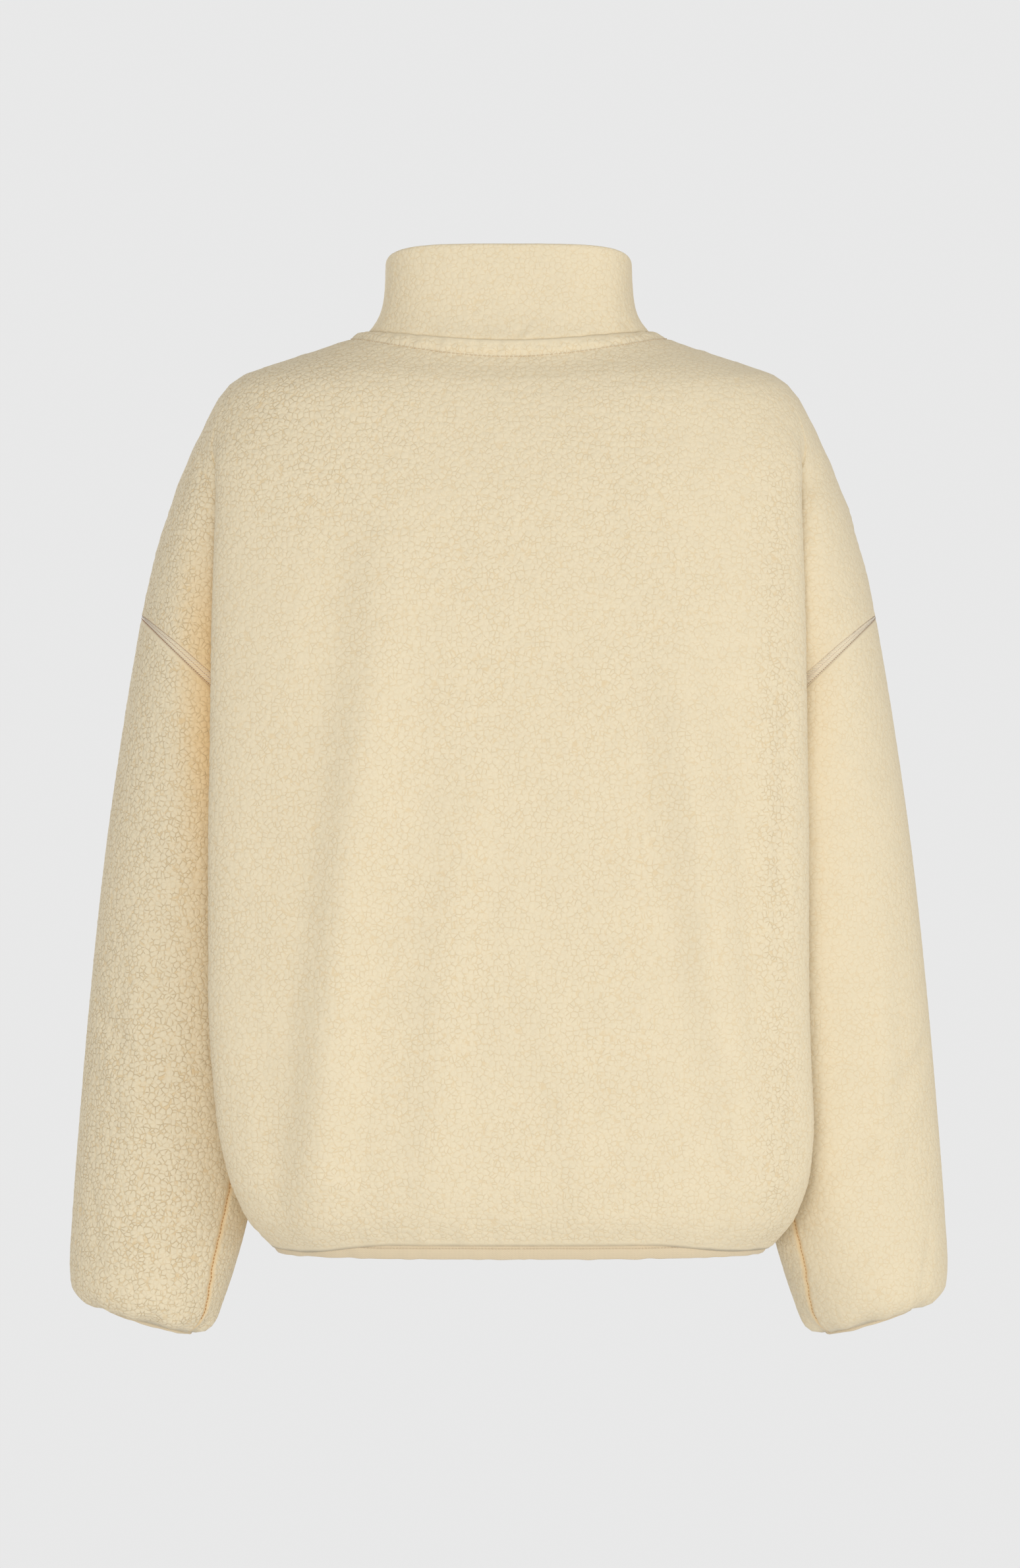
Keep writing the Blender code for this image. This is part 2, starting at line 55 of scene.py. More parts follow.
# %% [markdown]
# ## Sizes
# A pattern cutter keeps sizes in a table, and so does this script. They are in millimetres and are the
# ones the solids were made from: level sections through the body and the arm, and rings down the
# sleeve. Depth is counted from the garment's middle plane, which splits back from front. Writing them
# once lets each piece be drawn again from the same curves, only much more finely.

# %% Sizes and tables
MM = 0.001
FLEECE = 3.0
MIDDLE_Y = -6.0
UNDERARM_Z = -281.0
HEM_Z = -616.0
HEM_BINDING_DROP = 9.5
HEM_SWAY = -8.0
HEM_SWAY_FROM_Z = -440.0
SEAM_TOP_Z = -195.0
CREASE_START_Z = -100.0
CREASE_START_DEPTH = 58.0
CREASE_START_X = 190.0
UNDERARM_X = 160.0
CREASE_RADIUS = 1.6
FLANK_POWER = 2.5
YOKE_CENTRE_Z = -130.0
YOKE_CREASE_Z = -150.0
NECK_HALF_WIDTH = 97.0
NECK_DEPTH = {"back": 78.0, "front": 76.0}
NECK_Z = {"back": -10.5, "front": -48.0}
COLLAR_HALF_WIDTH = 84.0
COLLAR_TOP_DEPTH = {"back": 68.0, "front": 66.0}
COLLAR_TOP_Z = 55.5
COLLAR_TILT = 0.18
COLLAR_SQUARENESS = 3.6

SHOULDER_LINE = {
    "x": [97.0, 128.0, 160.0, 180.0, 190.0, 198.0, 206.0, 219.0, 230.0, 240.0, 251.0],
    "z": [-1.0, -11.5, -22.0, -29.0, -36.0, -46.0, -61.0, -88.0, -116.0, -149.0, -195.0],
}
BODY = {
    "z": [-10.0, -60.0, -120.0, -200.0, -281.0, -360.0, -450.0, -530.0, -570.0, -595.0, -616.0],
    "back": [78.0, 103.0, 120.0, 130.0, 133.0, 134.0, 134.0, 133.0, 130.0, 124.0, 112.0],
    "front": [72.0, 92.0, 112.0, 127.0, 133.0, 136.0, 137.0, 135.0, 131.0, 125.0, 113.0],
    "corner_x": [196.0, 196.0, 197.0, 199.0, 200.0, 201.0, 201.0, 200.0, 195.0, 186.0, 168.0],
    "corner_depth": [62.0, 66.0, 74.0, 84.0, 88.0, 90.0, 90.0, 88.0, 84.0, 74.0, 50.0],
    "side_x": [160.0, 160.0, 160.0, 160.0, 160.0, 150.0, 147.0, 150.0, 157.0, 164.0, 167.5],
}
ARM = {
    "z": [-46.0, -61.0, -88.0, -116.0, -149.0, -195.0, -250.0, -304.0],
    "outer_x": [198.0, 206.0, 219.0, 230.0, 240.0, 251.0, 260.0, 268.0],
    "top_x": [190.0, 194.0, 199.0, 202.0, 204.0, 206.0, 207.0, 208.0],
    "top_depth": [50.0, 55.0, 61.0, 64.0, 66.0, 68.0, 68.0, 67.0],
}
SLEEVE = {
    "share": [0.0, 0.15, 0.35, 0.55, 0.75, 0.88, 0.945, 0.972, 0.99, 1.0],
    "outer_x": [251.0, 262.5, 276.0, 286.0, 294.0, 298.5, 300.0, 299.0, 292.5, 279.0],
    "outer_z": [-195.0, -263.0, -358.0, -452.0, -545.0, -607.0, -636.0, -650.0, -660.0, -665.0],
    "inner_x": [160.0, 160.5, 159.5, 161.0, 170.0, 181.5, 191.0, 196.5, 202.5, 213.0],
    "inner_z": [-281.0, -335.0, -410.0, -488.0, -566.0, -618.0, -650.0, -665.0, -676.5, -683.5],
    "half_depth": [68.0, 65.0, 62.0, 59.5, 57.0, 56.0, 55.0, 52.5, 46.0, 34.0],
}
print("tables:", [len(table) for table in (SHOULDER_LINE, BODY, ARM, SLEEVE)], "columns")

# %% [markdown]
# ## Curves
# Five small helpers draw every line of the garment. `read` takes a smooth value from a table: cubic
# pieces that never overshoot a row, so a sleeve doesn't bulge between two rings. `along` walks a line by
# the distance `travelled`, which keeps the mesh even where a curve turns quickly.

# %% Helpers for curves
def smooth_step(value):
    value = np.clip(value, 0.0, 1.0)
    return value * value * (3.0 - 2.0 * value)


def between(start, end, share):
    return start + (end - start) * share


def read(table, key, place, column):
    """A column's smooth value where the key column has the given place."""
    places = np.array(table[key], float)
    heights = np.array(table[column], float)
    if places[0] > places[-1]:
        places, heights = places[::-1], heights[::-1]
    steps = np.diff(places)
    rises = np.diff(heights) / steps
    slopes = np.zeros(len(places))
    slopes[0], slopes[-1] = rises[0], rises[-1]
    for row in range(1, len(places) - 1):
        if rises[row - 1] * rises[row] > 0.0:
            slopes[row] = 2.0 / (1.0 / rises[row - 1] + 1.0 / rises[row])
    place = np.clip(place, places[0], places[-1])
    row = np.clip(np.searchsorted(places, place) - 1, 0, len(places) - 2)
    share = (place - places[row]) / steps[row]
    start = (1.0 + 2.0 * share) * (1.0 - share) ** 2
    leave = share * (1.0 - share) ** 2
    end = share * share * (3.0 - 2.0 * share)
    arrive = share * share * (share - 1.0)
    return (start * heights[row] + leave * steps[row] * slopes[row]
            + end * heights[row + 1] + arrive * steps[row] * slopes[row + 1])


def travelled(points):
    return np.concatenate([[0.0], np.cumsum(np.linalg.norm(np.diff(points, axis=0), axis=1))])


def along(points, shares):
    """Points at the given shares of a line's length."""
    run = travelled(points)
    wanted = np.asarray(shares, float) * run[-1]
    return np.stack([np.interp(wanted, run, column) for column in points.T], axis=-1)


print("side of the body at z -281:", read(BODY, "z", -281.0, "corner_x"))

# %% [markdown]
# ## Half sections of body and arm
# A panel is drawn as rows, each half a level section from the centre to the side: a shallow arc over the
# back, a rounded corner, in to the crease where the arm hangs, and out over the upper arm to the seam of
# the sleeve. Rows slant as the cloth's grain does, because both the crease and the armhole seam are
# divided evenly. A grid of rows was chosen over sculpting, since neighbours then share their borders.

# %% Sections
BACK_COLUMNS, SIDE_COLUMNS, FLAP_COLUMNS = 92, 40, 40
BACK_SHARES = np.linspace(0.0, 1.0, BACK_COLUMNS + 1)
SIDE_SHARES = np.linspace(0.0, 1.0, SIDE_COLUMNS + 1)[1:]
FLAP_SHARES = np.linspace(0.0, 1.0, FLAP_COLUMNS + 1)


def crease(z):
    """Where the arm meets the body at a height: x, depth, and the radius that the cloth turns round."""
    share = np.clip((z - CREASE_START_Z) / (UNDERARM_Z - CREASE_START_Z), 0.0, 1.0)
    depth = CREASE_START_DEPTH * np.sqrt(1.0 - share * share)
    return between(CREASE_START_X, UNDERARM_X, share), depth, CREASE_RADIUS * np.minimum(1.0, depth / 6.0)


def crease_point(z):
    x, depth, _ = crease(z)
    return np.array([x, depth, z])


def arm_point(z, turn):
    """A point of the arm's section. It turns from 0 in the crease to 1 on top and 2 at the outside."""
    z, turn = np.broadcast_arrays(np.asarray(z, float), np.asarray(turn, float))
    crease_x, crease_depth, radius = crease(z)
    top_x, top_depth = read(ARM, "z", z, "top_x"), read(ARM, "z", z, "top_depth")
    outer_x = read(ARM, "z", z, "outer_x")
    rise = np.minimum(turn, 1.0) * np.pi / 2.0
    fall = np.maximum(turn - 1.0, 0.0) * np.pi / 2.0
    start_x, start_depth = crease_x + radius, crease_depth + radius
    rising = turn <= 1.0
    x = np.where(rising, top_x - (top_x - start_x) * np.cos(rise),
                 top_x + (outer_x - top_x) * np.sin(fall))
    depth = np.where(rising, start_depth + (top_depth - start_depth) * np.sin(rise),
                     top_depth * np.cos(fall))
    return np.stack([x, depth, z], axis=-1)


def seam_turn(z):
    """How far round the arm's section the armhole seam lies."""
    share = (z - SEAM_TOP_Z) / (UNDERARM_Z - SEAM_TOP_Z)
    x = between(read(ARM, "z", SEAM_TOP_Z, "outer_x"), UNDERARM_X, share)
    top_x, outer_x = read(ARM, "z", z, "top_x"), read(ARM, "z", z, "outer_x")
    if x >= top_x:
        return 1.0 + np.arcsin(min(1.0, (x - top_x) / (outer_x - top_x))) * 2.0 / np.pi
    crease_x, _, radius = crease(z)
    return np.arccos(min(1.0, (top_x - x) / (top_x - crease_x - radius))) * 2.0 / np.pi


def seam_point(z):
    return arm_point(z, seam_turn(z))


def even_heights(first, last, place, count):
    """Heights that divide the line of places between two heights evenly."""
    heights = between(first, last, (1.0 - np.cos(np.linspace(0.0, np.pi, 400))) / 2.0)
    points = np.array([place(z) for z in heights])
    return along(np.column_stack([points, heights]), np.linspace(0.0, 1.0, count))[:, -1]


def folded_half(side, centre_z, edge_z, crease_at):
    """The arc from the centre to the body's corner, and the flank from there in to the crease."""
    depth = read(BODY, "z", centre_z, side)
    corner_x, corner_depth = read(BODY, "z", edge_z, "corner_x"), read(BODY, "z", edge_z, "corner_depth")
    crease_x, crease_depth, radius = crease_at
    turn = np.linspace(0.0, np.pi / 2.0, 240)
    arc = np.stack([corner_x * np.sin(turn) ** (2.0 / 3.0),
                    corner_depth + (depth - corner_depth) * np.cos(turn)], axis=1)
    share = np.linspace(1.0, 0.0, 120)
    start_x, start_depth = crease_x - radius, crease_depth + radius
    flank = np.stack([start_x + (corner_x - start_x) * smooth_step(share ** FLANK_POWER),
                      start_depth + (corner_depth - start_depth) * share], axis=1)
    return along(arc, BACK_SHARES), along(flank, SIDE_SHARES)


print("underarm at", crease_point(UNDERARM_Z))

# %% [markdown]
# ## Rows of a panel
# Near the neck a row is one rounded section. Further out it eases into the folded section with its
# crease. Each row here returns one line of points from the centre to the shoulder or the armhole seam,
# and the number of columns stays the same all the way down to the underarm, where the part over the arm
# closes to a point.

# %% Rows from neck to underarm, and below it
YOKE_ROWS, ARMHOLE_ROWS, SKIRT_ROWS = 92, 68, 140
CREASE_COLUMN = BACK_COLUMNS + SIDE_COLUMNS + 1
NECK_SQUARENESS, YOKE_SQUARENESS = 2.4, 3.2
CREASE_TOP_Z = -3.0
# Shares of a plain rounded row at which the columns of the flank and of the flap over the arm begin
FLANK_FROM, FLAP_FROM = 0.70, 0.78


def rounded_quarter(width, depth, power):
    turn = np.linspace(0.0, np.pi / 2.0, 240)
    return np.stack([width * np.sin(turn) ** (2.0 / power),
                     depth * np.cos(turn) ** (2.0 / power)], axis=1)


def level_half(side, centre_z, edge_z):
    back, flank = folded_half(side, centre_z, edge_z, crease(edge_z))
    heights = between(centre_z, edge_z, smooth_step(BACK_SHARES))
    return np.vstack([np.column_stack([back, heights]),
                      np.column_stack([flank, np.full(len(flank), edge_z)])])


def yoke_row(side, share):
    edge_x, edge_z = along(np.column_stack([SHOULDER_LINE["x"], SHOULDER_LINE["z"]]), [share])[0]
    centre_z = between(NECK_Z[side], YOKE_CENTRE_Z, share)
    crease_z = between(CREASE_TOP_Z, YOKE_CREASE_Z, share ** 1.15)
    depth = between(NECK_DEPTH[side], read(BODY, "z", centre_z, side), smooth_step(share * 4.0))
    power = between(NECK_SQUARENESS, YOKE_SQUARENESS, smooth_step(share * 2.0))
    shares = np.concatenate([BACK_SHARES * FLANK_FROM, between(FLANK_FROM, FLAP_FROM, SIDE_SHARES),
                             [FLAP_FROM], between(FLAP_FROM, 1.0, FLAP_SHARES)])
    plain = along(rounded_quarter(edge_x, depth, power), shares)
    plain = np.column_stack([plain, between(centre_z, edge_z, smooth_step(shares))])
    flap = arm_point(between(crease_z, edge_z, FLAP_SHARES), 2.0 * FLAP_SHARES)
    folded = np.vstack([level_half(side, centre_z, crease_z), [crease_point(crease_z)], flap])
    return between(plain, folded, smooth_step((share - 0.42) / 0.36))


def armhole_row(side, share, seam_z, crease_z):
    centre_z = between(YOKE_CENTRE_Z, UNDERARM_Z, share)
    body = level_half(side, centre_z, crease_z)
    flap = arm_point(between(crease_z, seam_z, FLAP_SHARES), seam_turn(seam_z) * FLAP_SHARES)
    if share == 1.0:
        body[-1] = crease_point(UNDERARM_Z)
        flap[:] = crease_point(UNDERARM_Z)
    return np.vstack([body, [crease_point(crease_z)], flap])


def skirt_row(side, share):
    z = between(UNDERARM_Z, HEM_Z, share)
    points = np.vstack(folded_half(side, z, z, (read(BODY, "z", z, "side_x"), 0.0, 0.0)))
    return np.column_stack([points, np.full(len(points), z)])


SEAM_HEIGHTS = even_heights(SEAM_TOP_Z, UNDERARM_Z, seam_point, ARMHOLE_ROWS + 1)
CREASE_HEIGHTS = even_heights(YOKE_CREASE_Z, UNDERARM_Z, crease_point, ARMHOLE_ROWS + 1)


def half_panel(side):
    """Two grids of half-section points: neck to underarm, and underarm to hem."""
    shares = np.linspace(0.0, 1.0, ARMHOLE_ROWS + 1)
    upper = [yoke_row(side, share) for share in np.linspace(0.0, 1.0, YOKE_ROWS + 1)[:-1]]
    upper += [armhole_row(side, *row) for row in zip(shares, SEAM_HEIGHTS, CREASE_HEIGHTS)]
    lower = [upper[-1][:CREASE_COLUMN]]
    lower += [skirt_row(side, share) for share in np.linspace(0.0, 1.0, SKIRT_ROWS + 1)[1:]]
    return np.array(upper), np.array(lower)


HALVES = {side: half_panel(side) for side in ("back", "front")}
print({side: [grid.shape for grid in grids] for side, grids in HALVES.items()})

# %% [markdown]
# ## Folds
# Filled cloth still has soft folds: long troughs and ridges that run down from the shoulder blades and
# the bust towards the hem. Each is a row in a table: where it starts and ends, how wide it is and how far
# it stands out, and no two are alike. They could be sculpted or simulated. A table was chosen because
# each fold can then be put where it hangs on the real garment, and the result never changes.

# %% Fold tables
FOLD_COLUMNS = ("from", "to", "half_width", "height")


def folds(*rows):
    return [dict(zip(FOLD_COLUMNS, row)) for row in rows]


BACK_FOLDS = folds(
    ((92.0, -190.0), (135.0, -600.0), 30.0, 6.0),
    ((-98.0, -150.0), (-165.0, -600.0), 34.0, 6.0),
    ((20.0, -260.0), (58.0, -590.0), 26.0, 3.0),
)
SOFT_FOLDS = {
    "back": folds(
        ((78.0, -110.0), (90.0, -340.0), 34.0, 3.6),
        ((112.0, -120.0), (126.0, -340.0), 30.0, -2.4),
        ((146.0, -200.0), (172.0, -600.0), 36.0, -1.8),
        ((122.0, -290.0), (156.0, -612.0), 26.0, -1.8),
        ((84.0, -270.0), (134.0, -606.0), 34.0, 3.4),
        ((-118.0, -190.0), (-140.0, -480.0), 26.0, 2.2),
        ((-148.0, -160.0), (-170.0, -560.0), 16.0, -1.4),
        ((-186.0, -230.0), (-178.0, -420.0), 9.0, -1.4),
        ((170.0, -440.0), (152.0, -606.0), 14.0, -1.0),
        ((-20.0, -420.0), (-52.0, -600.0), 20.0, 1.6),
    ),
    "front": folds(
        ((70.0, -210.0), (120.0, -590.0), 32.0, 5.0),
        ((-88.0, -170.0), (-122.0, -560.0), 28.0, 4.4),
        ((-16.0, -300.0), (-34.0, -600.0), 24.0, 2.6),
        ((96.0, -240.0), (146.0, -600.0), 18.0, -2.4),
        ((30.0, -90.0), (60.0, -240.0), 22.0, 1.4),
        ((184.0, -260.0), (176.0, -430.0), 9.0, -1.4),
    ),
}


def fold_height(rows, x, z, swell=0.3, past_end=0.1, fade=0.25, shift=0.0):
    """How far folds stand out at x and z. They swell up and fade out over the given shares of their length."""
    total = np.zeros(np.shape(x))
    for fold in rows:
        line = np.array(fold["to"]) - np.array(fold["from"])
        from_x, from_z = x - (fold["from"][0] + shift), z - fold["from"][1]
        share = (from_x * line[0] + from_z * line[1]) / (line @ line)
        across = np.abs(line[0] * from_z - line[1] * from_x) / np.linalg.norm(line)
        ends = smooth_step(share / swell) * smooth_step((1.0 + past_end - share) / fade)
        total += fold["height"] * smooth_step(1.0 - across / fold["half_width"]) * ends
    return total


def placed(points, side, hand):
    """Half-section points as they lie in the frame, with the panel's long folds and the hem's sway."""
    points = points.copy()
    if side == "back":
        on_back = points[..., 1] > read(BODY, "z", points[..., 2], "corner_depth")
        points[..., 1] += on_back * fold_height(BACK_FOLDS, hand * points[..., 0], points[..., 2])
    facing = 1.0 if side == "back" else -1.0
    sway = HEM_SWAY * smooth_step((points[..., 2] - HEM_SWAY_FROM_Z) / (HEM_Z - HEM_SWAY_FROM_Z))
    return np.stack([hand * points[..., 0] + sway, MIDDLE_Y + facing * points[..., 1], points[..., 2]], axis=-1)


print("back folds:", len(BACK_FOLDS) + len(SOFT_FOLDS["back"]))

# %% [markdown]
# ## From grids to one sheet
# Several grids share their borders, so their points are welded into one list and each grid keeps the
# numbers of its points. The normals are summed from the faces round a point. Only the bottom of the
# crease gets its own normal, because there the cloth turns back on itself and the sum would vanish.

# %% Welding and normals
WELD_DISTANCE = 0.004


def weld(grids):
    """One list of points, and each grid as rows of point numbers."""
    points = np.vstack([grid.reshape(-1, 3) for grid in grids])
    cells = np.round(points / WELD_DISTANCE).astype(np.int64)
    _, first, index = np.unique(cells, axis=0, return_index=True, return_inverse=True)
    ends = np.cumsum([grid.shape[0] * grid.shape[1] for grid in grids])[:-1]
    parts = np.split(index.reshape(-1), ends)
    return points[first], [part.reshape(grid.shape[:2]) for part, grid in zip(parts, grids)]


def quads(ids, turned=False):
    faces = np.stack([ids[:-1, :-1], ids[1:, :-1], ids[1:, 1:], ids[:-1, 1:]], axis=-1)
    faces = faces.reshape(-1, 4)
    return faces[:, ::-1] if turned else faces


def normals_of(points, faces):
    corners = points[faces]
    face_normals = np.cross(corners[:, 2] - corners[:, 0], corners[:, 3] - corners[:, 1])
    size = np.linalg.norm(face_normals, axis=1, keepdims=True)
    face_normals = face_normals / np.sqrt(np.maximum(size, 1e-9))
    total = np.zeros_like(points)
    for corner in range(4):
        for axis in range(3):
            total[:, axis] += np.bincount(faces[:, corner], face_normals[:, axis], len(points))
    return total / np.maximum(np.linalg.norm(total, axis=1, keepdims=True), 1e-9)


def run_length(grid, axis, from_end=False):
    """Distance travelled along a grid's rows or columns, counted from one border."""
    steps = np.linalg.norm(np.diff(grid, axis=axis), axis=-1)
    steps = np.flip(steps, axis) if from_end else steps
    pad = [(1, 0), (0, 0)] if axis == 0 else [(0, 0), (1, 0)]
    total = np.pad(np.cumsum(steps, axis=axis), pad)
    return np.flip(total, axis) if from_end else total


def least(count, ids, values):
    """The least value that any grid gives each point."""
    result = np.full(count, 1e3)
    for numbers, value in zip(ids, values):
        np.minimum.at(result, numbers.reshape(-1), value.reshape(-1))
    return result


def crease_normals(points, normals, numbers):
    """Sets the normals at the bottom of the crease square to its curve."""
    z = points[numbers, 2]
    depth = points[numbers, 1] - MIDDLE_Y
    rise = (z - CREASE_START_Z) / (UNDERARM_Z - CREASE_START_Z) ** 2
    turned = np.stack([np.zeros(len(z)), depth / CREASE_START_DEPTH ** 2, rise], axis=1)
    turned /= np.maximum(np.linalg.norm(turned, axis=1, keepdims=True), 1e-9)
    deep = (z <= CREASE_START_Z)[:, None]
    normals[numbers] = np.where(deep, turned, normals[numbers])
    return normals


print("weld, quads, normals_of, run_length, least and crease_normals are ready")

# %% [markdown]
# ## The pile as relief
# The pile's pebbles are 4 to 5 mm across with thin cracks between them. A Voronoi pattern, slightly
# warped by noise, has just that look. The same few nodes are used twice: in a geometry node group that
# measures the pattern at every point, so the shell really stands out there, and in the material, which
# adds what is too fine for the mesh. Both read the cloth's place before it was raised, kept in an
# attribute called rest, so the two always agree.

# %% Nodes of the pile pattern, shared by mesh and material
PEBBLES_PER_METRE = 285.0
WARP_METRES = 0.0028


def feed(tree, socket, value):
    """Gives an input its value: a number or colour of its own, or a link from another node."""
    if hasattr(value, "is_linked"):
        tree.links.new(value, socket)
    else:
        socket.default_value = value


def add_node(tree, kind, inputs, **settings):
    """A new node with its settings. Inputs maps an input's title or number to its value."""
    node = tree.nodes.new(kind)
    for title, value in settings.items():
        setattr(node, title, value)
    for title, value in inputs.items():
        feed(tree, node.inputs[title], value)
    return node


def math_node(tree, operation, *values, clamp=False):
    inputs = dict(enumerate(values))
    return add_node(tree, "ShaderNodeMath", inputs, operation=operation, use_clamp=clamp).outputs[0]


def noise_node(tree, place, scale, detail=2.0, output="Fac"):
    inputs = {"Vector": place, "Scale": scale, "Detail": detail}
    return add_node(tree, "ShaderNodeTexNoise", inputs).outputs[output]


def voronoi_node(tree, place, feature):
    inputs = {"Vector": place, "Scale": PEBBLES_PER_METRE, "Randomness": 0.9}
    if feature == "SMOOTH_F1":
        inputs["Smoothness"] = 0.3
    return add_node(tree, "ShaderNodeTexVoronoi", inputs, feature=feature).outputs["Distance"]


def vector_node(tree, operation, inputs):
    return add_node(tree, "ShaderNodeVectorMath", inputs, operation=operation).outputs[0]


def node_group(name, kind, inputs, outputs):
    """An empty node group, what it is given and its results. Inputs and outputs map titles to kinds."""
    tree = bpy.data.node_groups.new(name, kind)
    for in_out, sockets in (("INPUT", inputs), ("OUTPUT", outputs)):
        for title, socket_kind in sockets.items():
            tree.interface.new_socket(title, in_out=in_out, socket_type=socket_kind)
    return tree, tree.nodes.new("NodeGroupInput").outputs, tree.nodes.new("NodeGroupOutput").inputs


def pile_pattern(tree, place):
    """Sockets for the distances to a pebble's middle and to the nearest crack, from a place in metres."""
    warp = noise_node(tree, place, 150.0, 1.0, "Color")
    warp = vector_node(tree, "SUBTRACT", {0: warp, 1: (0.5, 0.5, 0.5)})
    warp = vector_node(tree, "SCALE", {0: warp, "Scale": WARP_METRES})
    place = vector_node(tree, "ADD", {0: place, 1: warp})
    return voronoi_node(tree, place, "SMOOTH_F1"), voronoi_node(tree, place, "DISTANCE_TO_EDGE")


def pile_relief(points):
    """The pattern at points in millimetres, from 0 in the cracks to 1 on the pebbles' tops."""
    mesh = bpy.data.meshes.new("pile_probe")
    mesh.from_pydata((points * MM).tolist(), [], [])
    probe = bpy.data.objects.new("pile_probe", mesh)
    bpy.context.scene.collection.objects.link(probe)
    geometry = {"Geometry": "NodeSocketGeometry"}
    tree, given, result = node_group("measure pile", "GeometryNodeTree", geometry, geometry)
    dome, _ = pile_pattern(tree, tree.nodes.new("GeometryNodeInputPosition").outputs[0])
    pile = math_node(tree, "SUBTRACT", 1.0, dome, clamp=True)
    store = add_node(tree, "GeometryNodeStoreNamedAttribute",
                     {"Geometry": given["Geometry"], "Name": "pile", "Value": pile})
    tree.links.new(store.outputs["Geometry"], result["Geometry"])
    probe.modifiers.new("measure", "NODES").node_group = tree
    measured = probe.evaluated_get(bpy.context.evaluated_depsgraph_get()).data
    values = np.zeros(len(points), np.float32)
    measured.attributes["pile"].data.foreach_get("value", values)
    bpy.data.objects.remove(probe)
    bpy.data.meshes.remove(mesh)
    bpy.data.node_groups.remove(tree)
    return values.astype(float)


sample = pile_relief(HALVES["back"][1][40:60].reshape(-1, 3))
print("pile at 20 rows of the back: least %.2f, middle %.2f, most %.2f"
      % (sample.min(), np.median(sample), sample.max()))

# %% [markdown]
# ## Cloth as a closed shell
# Each sheet gets a finely divided outer face, where the pile stands, and a coarse inner face a cloth's
# thickness in, where only the smooth knit shows. The inner face follows the soft folds and the seams'
# relief, all but the height of the pile, so that a trough in the open cloth doesn't reach it. The two
# meet in a rim at every border. Solidify could add the thickness, but it would divide the inside as
# finely as the pile, which nobody sees.

# %% Shell builder
PILE_HEIGHT = 0.42
INNER_STEP = 4


def add_mesh(name, points, faces, attributes=()):
    """A mesh object in metres. Attributes are (name, type, values), one value or vector for each point."""
    mesh = bpy.data.meshes.new(name)
    mesh.from_pydata((points * MM).tolist(), [], [list(face) for face in faces])
    mesh.update()
    for title, kind, values in attributes:
        layer = mesh.attributes.new(title, kind, "POINT")
        field = "vector" if kind == "FLOAT_VECTOR" else "value"
        layer.data.foreach_set(field, np.ascontiguousarray(values, np.float32).reshape(-1))
    mesh.shade_smooth()
    obj = bpy.data.objects.new(name, mesh)
    bpy.context.scene.collection.objects.link(obj)
    print(name, len(mesh.vertices), "points,", sum(len(face) - 2 for face in faces), "triangles")
    return obj


def clean_faces(faces):
    """Quads as lists, with any repeated corner left out, so a pole's quads become triangles."""
    repeated = (faces == np.roll(faces, 1, axis=1)).any(axis=1)
    repeated |= (faces[:, 0] == faces[:, 2]) | (faces[:, 1] == faces[:, 3])
    result = faces[~repeated].tolist()
    for face in faces[repeated].tolist():
        kept = list(dict.fromkeys(face))
        if len(kept) == 3:
            result.append(kept)
    return result


def coarse_places(count, also=()):
    """Every few numbers up to count, with both ends and any named places."""
    return sorted({*range(0, count, INNER_STEP), count - 1, *also})


def shell(name, points, normals, ids, turned, outer, borders, keep_columns, extra):
    """A closed wall. ids are the grids, outer the raised outer points, borders the grids' free sides.
    The inner face keeps one row and column in INNER_STEP, and the columns named."""
    faces, inner_faces, rims = [], [], []
    inner_number = {}

    def inner(number):
        return len(points) + inner_number.setdefault(int(number), len(inner_number))

    for numbers, flip, sides in zip(ids, turned, borders):
        faces += clean_faces(quads(numbers, flip))
        rows = coarse_places(numbers.shape[0])
        columns = coarse_places(numbers.shape[1], [c for c in keep_columns if c < numbers.shape[1]])
        coarse = numbers[np.ix_(rows, columns)]
        for face in clean_faces(quads(coarse, not flip)):
            inner_faces.append([inner(number) for number in face])
        lines = {"top": (numbers[0], columns), "bottom": (numbers[-1], columns),
                 "left": (numbers[:, 0], rows), "right": (numbers[:, -1], rows)}
        for side in sides:
            line, stops = lines[side]
            backwards = (side in ("bottom", "left")) == flip
            for first, last in zip(stops[:-1], stops[1:]):
                fine = [int(number) for number in dict.fromkeys(line[first:last + 1].tolist())]
                if len(fine) < 2:
                    continue
                face = fine[::-1] + [inner(fine[0]), inner(fine[-1])]
                rims.append(face[::-1] if backwards else face)
    base = np.array(list(inner_number))
    lift = np.einsum("ij,ij->i", outer[base] - points[base], normals[base])
    follows = np.sign(lift) * np.maximum(np.abs(lift) - PILE_HEIGHT, 0.0)
    inner_points = points[base] + (follows - FLEECE)[:, None] * normals[base]
    everything = np.vstack([outer, inner_points])
    rest = np.vstack([points, inner_points]) * MM
    is_outer = np.concatenate([np.ones(len(points)), np.zeros(len(inner_points))])
    attributes = [("rest", "FLOAT_VECTOR", rest), ("outside", "FLOAT", is_outer)]
    for title, values in extra:
        attributes.append((title, "FLOAT", np.concatenate([values, np.zeros(len(inner_points))])))
    return add_mesh(name, everything, faces + inner_faces + rims, attributes)
